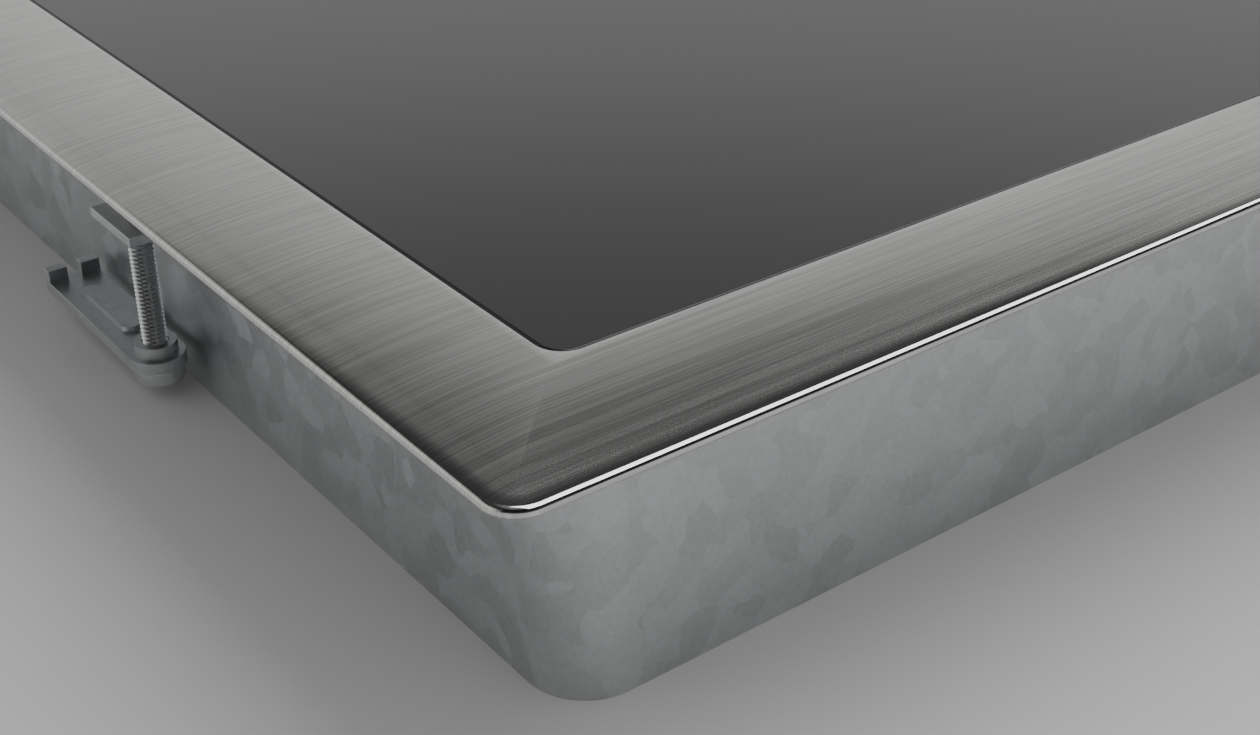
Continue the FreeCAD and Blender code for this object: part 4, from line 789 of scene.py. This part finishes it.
class COOKTOP_OT_glass(bpy.types.Operator):
    """Models the glass ceramic panel with its finely ground edges."""
    bl_idname = "cooktop.glass"
    bl_label = "Glass"

    def execute(self, context):
        sizes = context.scene.cooktop_rim
        gap = RIM_HIGH.x - sizes.limb - GLASS_HIGH.x
        piece = plate("glass", GLASS_HIGH.x, GLASS_HIGH.y, GLASS_LOW.z, sizes.opening_radius - gap)
        slide(z=GLASS_HIGH.z - GLASS_LOW.z)
        pick(piece, "edges", lambda edge: abs(edge.verts[0].co.z - edge.verts[1].co.z) < NEAR)
        bpy.ops.mesh.bevel(offset=sizes.arris, segments=3, profile=0.5, affect="EDGES", clamp_overlap=False)
        settle(smooth(piece), "hob", "ceramic_glass", "glass_panel")
        return {"FINISHED"}


class COOKTOP_OT_printing(bpy.types.Operator):
    """Models the fired marks on the glass: a ring and a cross for each zone, and the touch controls."""
    bl_idname = "cooktop.printing"
    bl_label = "Marks on the glass"

    FILM = 0.03 * MM
    RING_LINE, RING_MARGIN = 1.2 * MM, 1.5 * MM      # ring's width, its reach past the winding
    CROSS = (14 * MM, 0.8 * MM)
    KEY_ROW = -7.5 * MM       # from the control board's middle line
    SLIDER_BARS, SLIDER_LEFT, SLIDER_STEP = 10, -42 * MM, 8.4 * MM
    SLIDER_LINE, SLIDER_LOW, SLIDER_RISE = 1.1 * MM, 4 * MM, 0.9 * MM
    MINUS, PLUS, SIGN = -52 * MM, 43 * MM, (5 * MM, 0.9 * MM)
    KEY, KEY_RING, KEY_LINE = 86 * MM, 4.2 * MM, 0.7 * MM
    KEY_HAND = (0.8 * MM, 4 * MM)
    DIGITS, DIGIT_SHIFT, DIGIT_SIZE = (-63 * MM, -21 * MM, 21 * MM, 63 * MM), -12 * MM, 6 * MM

    def execute(self, context):
        marks = []
        for zone in CORNERS:
            disc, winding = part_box("mica_disc_" + zone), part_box("coil_winding_" + zone)
            middle, reach = (disc[0] + disc[1]) / 2, (winding[1].x - winding[0].x) / 2
            marks.append(self.ring(middle.x, middle.y, reach + self.RING_MARGIN, self.RING_LINE))
            marks += [self.bar(middle.x, middle.y, *self.CROSS, turn) for turn in (0, 90)]
        low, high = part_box("control_board")
        line = (low.y + high.y) / 2 + self.KEY_ROW
        for key in range(self.SLIDER_BARS):
            marks.append(self.bar(self.SLIDER_LEFT + key * self.SLIDER_STEP, line, self.SLIDER_LINE,
                                  self.SLIDER_LOW + key * self.SLIDER_RISE, 0))
        for x, turns in ((self.MINUS, (0,)), (self.PLUS, (0, 90))):
            marks += [self.bar(x, line, *self.SIGN, turn) for turn in turns]
        marks += [self.ring(x, line, self.KEY_RING, self.KEY_LINE) for x in (-self.KEY, self.KEY)]
        marks += [self.bar(x, line, *self.KEY_HAND, turn) for x, turn in ((self.KEY, 0), (-self.KEY, 60))]
        low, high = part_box("display_modules")
        for number, x in enumerate(self.DIGITS, 1):
            marks.append(self.digit(str(number), x + self.DIGIT_SHIFT, (low.y + high.y) / 2))
        settle(merged("glass_marks", marks), "hob", "ceramic_glass", finish="glass_marks")
        return {"FINISHED"}

    def raised(self, piece):
        """Gives a flat face in edit mode the thickness of the printed film."""
        slide(z=self.FILM)
        outwards()
        bpy.ops.object.mode_set(mode="OBJECT")
        return piece

    def ring(self, x, y, radius, line):
        """A flat ring of this line inside the radius."""
        deselect_all()
        place = (x, y, GLASS_HIGH.z)
        bpy.ops.mesh.primitive_circle_add(vertices=128, radius=radius, location=place)
        piece = bpy.context.object
        bpy.ops.object.transform_apply(location=True, rotation=True, scale=True)
        edit(piece)
        bpy.ops.mesh.select_all(action="SELECT")
        slide()
        bpy.ops.transform.resize(value=(1 - line / radius,) * 2 + (1,), center_override=place)
        bpy.ops.mesh.select_all(action="SELECT")
        return self.raised(piece)

    def bar(self, x, y, width, height, turn):
        """A straight mark, turned about its middle in degrees."""
        piece = strip("bar", (-width / 2, -height / 2, GLASS_HIGH.z),
                      (width / 2, height / 2, GLASS_HIGH.z + self.FILM))
        bpy.ops.object.mode_set(mode="OBJECT")
        piece.data.transform(Matrix.Translation((x, y, 0)) @ Matrix.Rotation(math.radians(turn), 4, "Z"))
        return piece

    def digit(self, number, x, y):
        """A plain numeral."""
        deselect_all()
        bpy.ops.object.text_add(location=(x, y, GLASS_HIGH.z))
        piece = bpy.context.object
        piece.data.body, piece.data.size, piece.data.extrude = number, self.DIGIT_SIZE, self.FILM / 2
        piece.data.align_x, piece.data.align_y = "CENTER", "CENTER"
        bpy.ops.object.convert(target="MESH")
        piece = bpy.context.object
        bpy.ops.object.transform_apply(location=True, rotation=True, scale=True)
        piece.data.transform(Matrix.Translation((0, 0, self.FILM / 2)))
        edit(piece)
        bpy.ops.mesh.select_all(action="SELECT")
        bpy.ops.mesh.remove_doubles(threshold=0.001 * MM)
        bpy.ops.mesh.normals_make_consistent(inside=False)
        bpy.ops.object.mode_set(mode="OBJECT")
        return piece


class COOKTOP_OT_joint(bpy.types.Operator):
    """Models the silicone bed and the hollow joint that fills the gap round the glass."""
    bl_idname = "cooktop.joint"
    bl_label = "Glass joint"

    SUNK = 0.05 * MM                          # its edge, under the glass
    HOLLOW = (-0.09, -0.03, 0.03, 0.06)       # steps over its width, in mm
    CLEAR = 0.03 * MM                         # from the underside of the glass

    def execute(self, context):
        sizes = context.scene.cooktop_rim
        low = SEAL_BED.z
        gap = RIM_HIGH.x - sizes.limb - GLASS_HIGH.x
        piece = plate("glass_joint", RIM_HIGH.x - sizes.limb, RIM_HIGH.y - sizes.limb, low,
                      sizes.opening_radius)
        top = GLASS_HIGH.z - self.SUNK
        slide(z=top - low)
        for sink in self.HOLLOW:
            bpy.ops.mesh.inset(thickness=gap / len(self.HOLLOW), depth=sink * MM)
        slide(z=GLASS_LOW.z - top + self.CLEAR)
        inset_past_corner(piece, sizes.limb + gap, sizes.opening_radius - gap, sizes.ledge - gap, GLASS_LOW.z)
        bpy.ops.mesh.delete(type="ONLY_FACE")
        inset_past_corner(piece, sizes.limb, sizes.opening_radius, sizes.ledge, low)
        bpy.ops.mesh.delete(type="ONLY_FACE")
        pick(piece, "edges", lambda edge: edge.is_boundary)
        bpy.ops.mesh.bridge_edge_loops()
        outwards()
        settle(smooth(piece), "hob", "black_silicone", "glass_adhesive")
        return {"FINISHED"}


class COOKTOP_OT_foam(bpy.types.Operator):
    """Models the soft foam seal under the rim, with rounded shoulders."""
    bl_idname = "cooktop.foam"
    bl_label = "Foam seal"

    def execute(self, context):
        piece = softened("worktop_seal", "foam_seal", 0.7 * MM, 40)
        settle(piece, "hob", "grey_foam", "worktop_seal")
        return {"FINISHED"}


class COOKTOP_OT_screws(bpy.types.Operator):
    """Models one clamp screw with its slotted head and thread, and copies it to the four clamps."""
    bl_idname = "cooktop.screws"
    bl_label = "Clamp screws"

    HEAD_RADIUS, HEAD, HEAD_EDGE = 4.0 * MM, 2.6 * MM, 0.5 * MM
    CREST, ROOT, PITCH = 2.0 * MM, 1.66 * MM, 0.7 * MM      # radii of the thread, height of a turn
    POINT, POINT_SHARE = 0.3 * MM, 0.82                     # height of the narrowed end, its share of the width
    SLOT, SLOT_DEPTH = 0.45 * MM, 0.9 * MM                  # half its width

    def execute(self, context):
        screw = self.screw()
        for corner in CORNERS:
            node = "clamp_screw_" + corner
            low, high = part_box(node)
            piece = turned(copied(screw), 0, ((low.x + high.x) / 2, (low.y + high.y) / 2, low.z))
            piece.name = piece.data.name = node + "_threaded"
            settle(piece, node, "zinc_screws", node)
        erased(screw)
        return {"FINISHED"}

    def screw(self):
        """A screw that stands on its head at the origin."""
        low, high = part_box("clamp_screw_front_left")
        tall = high.z - low.z
        deselect_all()
        bpy.ops.mesh.primitive_circle_add(vertices=32, radius=self.HEAD_RADIUS, fill_type="NGON",
                                          location=(0, 0, 0))
        piece = bpy.context.object
        edit(piece)
        bpy.ops.mesh.select_all(action="SELECT")
        slide(z=self.HEAD)
        pick(piece, "edges", lambda edge: abs(edge.verts[0].co.z - edge.verts[1].co.z) < NEAR)
        bpy.ops.mesh.bevel(offset=self.HEAD_EDGE, segments=3, affect="EDGES", clamp_overlap=False)
        pick(piece, "faces", lambda face: level(face, self.HEAD) and len(face.verts) > 4)
        bpy.ops.mesh.inset(thickness=self.HEAD_RADIUS - self.HEAD_EDGE - self.CREST)
        turns = int((tall - self.HEAD - self.PITCH) / self.PITCH)
        z = tall - turns * self.PITCH - self.POINT
        slide(z=z - self.HEAD)
        for share in (self.ROOT / self.CREST, self.CREST / self.ROOT) * turns:
            slide(z=self.PITCH / 2)
            z += self.PITCH / 2
            bpy.ops.transform.resize(value=(share, share, 1), center_override=(0, 0, z))
        slide(z=tall - z)
        bpy.ops.transform.resize(value=(self.POINT_SHARE, self.POINT_SHARE, 1), center_override=(0, 0, tall))
        outwards()
        bpy.ops.object.mode_set(mode="OBJECT")
        slot = strip("slot", (-self.HEAD_RADIUS, -self.SLOT, -self.HEAD_EDGE),
                     (self.HEAD_RADIUS, self.SLOT, self.SLOT_DEPTH))
        return smooth(cut(piece, slot), 25)


class COOKTOP_OT_hardware(bpy.types.Operator):
    """Rounds the edges of the brackets, lugs, gland and hatch a little, as on pressed and moulded parts."""
    bl_idname = "cooktop.hardware"
    bl_label = "Brackets and fittings"

    ROUNDED = {    # frame node: radius of its edges in mm, body
        "clamp_lugs": (0.3, "hob"), "cable_gland": (0.5, "hob"), "terminal_cover": (0.45, "terminal_hatch"),
        **{"clamp_bracket_" + corner: (0.35, "clamp_arm_" + corner) for corner in CORNERS},
    }

    def execute(self, context):
        for node, (radius, body) in self.ROUNDED.items():
            settle(softened(node, node + "_finished", radius * MM), body, slot_of(node), node)
        return {"FINISHED"}


class COOKTOP_OT_springs(bpy.types.Operator):
    """Splits the coil springs by coil, one piece for each coil."""
    bl_idname = "cooktop.springs"
    bl_label = "Coil springs"

    SINK = 1.5 * MM     # the coils' travel

    def execute(self, context):
        for corner in CORNERS:
            near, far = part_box("coil_carrier_" + corner)
            piece = welded("coil_springs", "coil_springs_" + corner)
            pick(piece, "verts", lambda vert: not (near.x < vert.co.x < far.x and near.y < vert.co.y < far.y))
            bpy.ops.mesh.delete(type="VERT")
            bpy.ops.object.mode_set(mode="OBJECT")
            settle(smooth(piece, 40), "hob", slot_of("coil_springs"), "coil_springs")
            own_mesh(piece)
        return {"FINISHED"}


class COOKTOP_OT_stage(bpy.types.Operator):
    """Floor, studio light and camera."""
    bl_idname = "cooktop.stage"
    bl_label = "Stage"

    KEY = ((0.7, -0.25, 1.45), (2.1, 1.6), 24)       # place, width and depth, power: it lights the surfaces
    CARD = ((0.7, -0.71, 1.4), (2.1, 1.48), 40)      # the same of the white card that only metal and glass show
    FLOOR_RADIUS = 15.0
    REAR = ((0.0, 0.95), (0.34, 0.72), (0.49, 0.48), (0.56, 0.16), (0.63, 0.05), (0.86, 0.06), (1.0, 0.3))
    FRONT = ((0.0, 0.4), (0.08, 0.14), (0.24, 0.03), (0.72, 0.01), (1.0, 0.3))
    TURN = (-0.35, 0.15)                             # where the front's brightness gives way to the rear's
    AROUND, BEHIND = (0.8, 0.8, 0.8, 1), (0.6, 0.6, 0.6, 1)      # what matt surfaces get, what the view shows

    def execute(self, context):
        sizes = context.scene.cooktop_stage
        self.floor(sizes)
        self.world()
        self.light("key", *self.KEY).visible_glossy = False
        self.light("card", *self.CARD).visible_diffuse = False
        camera = bpy.data.cameras.new("camera")
        camera.lens, camera.sensor_width = sizes.lens, 36
        camera.clip_start, camera.clip_end = 0.01, 50
        holder = bpy.data.objects.new("camera", camera)
        context.scene.collection.objects.link(holder)
        turn = Matrix.Rotation(sizes.azimuth, 4, "Z") @ Matrix.Rotation(math.pi / 2 - sizes.elevation, 4, "X")
        holder.matrix_world = Matrix.Translation(sizes.camera) @ turn @ Matrix.Rotation(sizes.roll, 4, "Z")
        context.scene.camera = holder
        return {"FINISHED"}

    def floor(self, sizes):
        deselect_all()
        bpy.ops.mesh.primitive_circle_add(vertices=128, radius=self.FLOOR_RADIUS, fill_type="NGON",
                                          location=(0, 0, 0))
        floor = bpy.context.object
        floor.name = floor.data.name = "floor"
        tree, shader = new_material("floor_paint", Roughness=0.75)
        cloud = place_group(tree, "Mottle", Scale=3.0)["Value"]
        wire(tree, shader, Base_Color=blend(tree, cloud, toned(sizes.floor, 0.98), tuple(sizes.floor)))
        coat(floor, material_for("floor_paint"))

    def light(self, name, place, size, power):
        """A soft light that shines straight down."""
        lamp = bpy.data.lights.new(name, "AREA")
        lamp.shape, lamp.size, lamp.size_y, lamp.energy = "RECTANGLE", *size, power
        holder = bpy.data.objects.new(name, lamp)
        bpy.context.scene.collection.objects.link(holder)
        holder.location = place
        return holder

    def world(self):
        """A studio that is brightest low behind the cooktop, darker overhead and dark low in front."""
        world = bpy.data.worlds.new("studio")
        world.use_nodes = True
        bpy.context.scene.world = world
        tree = world.node_tree
        back = tree.nodes["Background"]
        parts = put(tree, "SeparateXYZ", {0: put(tree, "TexCoord").outputs["Generated"]})
        rear = ramp(tree, parts.outputs[2], *self.REAR)
        front = ramp(tree, parts.outputs[2], *self.FRONT)
        facing = spread(tree, parts.outputs[1], *self.TURN)
        rays = put(tree, "LightPath").outputs
        sky = blend(tree, facing, front, rear)
        sky = blend(tree, rays["Is Diffuse Ray"], sky, self.AROUND)
        tree.links.new(blend(tree, rays["Is Camera Ray"], sky, self.BEHIND), back.inputs[0])


class COOKTOP_PT_panel(bpy.types.Panel):
    """Sizes, colours and pieces."""
    bl_idname = "COOKTOP_PT_panel"
    bl_label = "Induction cooktop"
    bl_space_type = "VIEW_3D"
    bl_region_type = "UI"
    bl_category = "Cooktop"

    def draw(self, context):
        for group, kind in SCENE_GROUPS.items():
            box = self.layout.box()
            for name in kind.__annotations__:
                box.prop(getattr(context.scene, group), name)
        for operator in OPERATORS:
            self.layout.operator(operator.bl_idname)


OPERATORS = (COOKTOP_OT_finishes, COOKTOP_OT_rim, COOKTOP_OT_glass, COOKTOP_OT_printing, COOKTOP_OT_joint,
             COOKTOP_OT_foam, COOKTOP_OT_screws, COOKTOP_OT_hardware, COOKTOP_OT_springs, COOKTOP_OT_stage)
CLASSES = (*SCENE_GROUPS.values(), *OPERATORS, COOKTOP_PT_panel)


def register():
    for kind in CLASSES:
        bpy.utils.register_class(kind)
    for name, kind in SCENE_GROUPS.items():
        setattr(bpy.types.Scene, name, bpy.props.PointerProperty(type=kind))


def unregister():
    for name in SCENE_GROUPS:
        delattr(bpy.types.Scene, name)
    for kind in reversed(CLASSES):
        bpy.utils.unregister_class(kind)


def main():
    register()
    for operator in OPERATORS:
        getattr(bpy.ops.cooktop, operator.bl_idname.split(".")[1])()


if __name__ == "__main__":
    main()
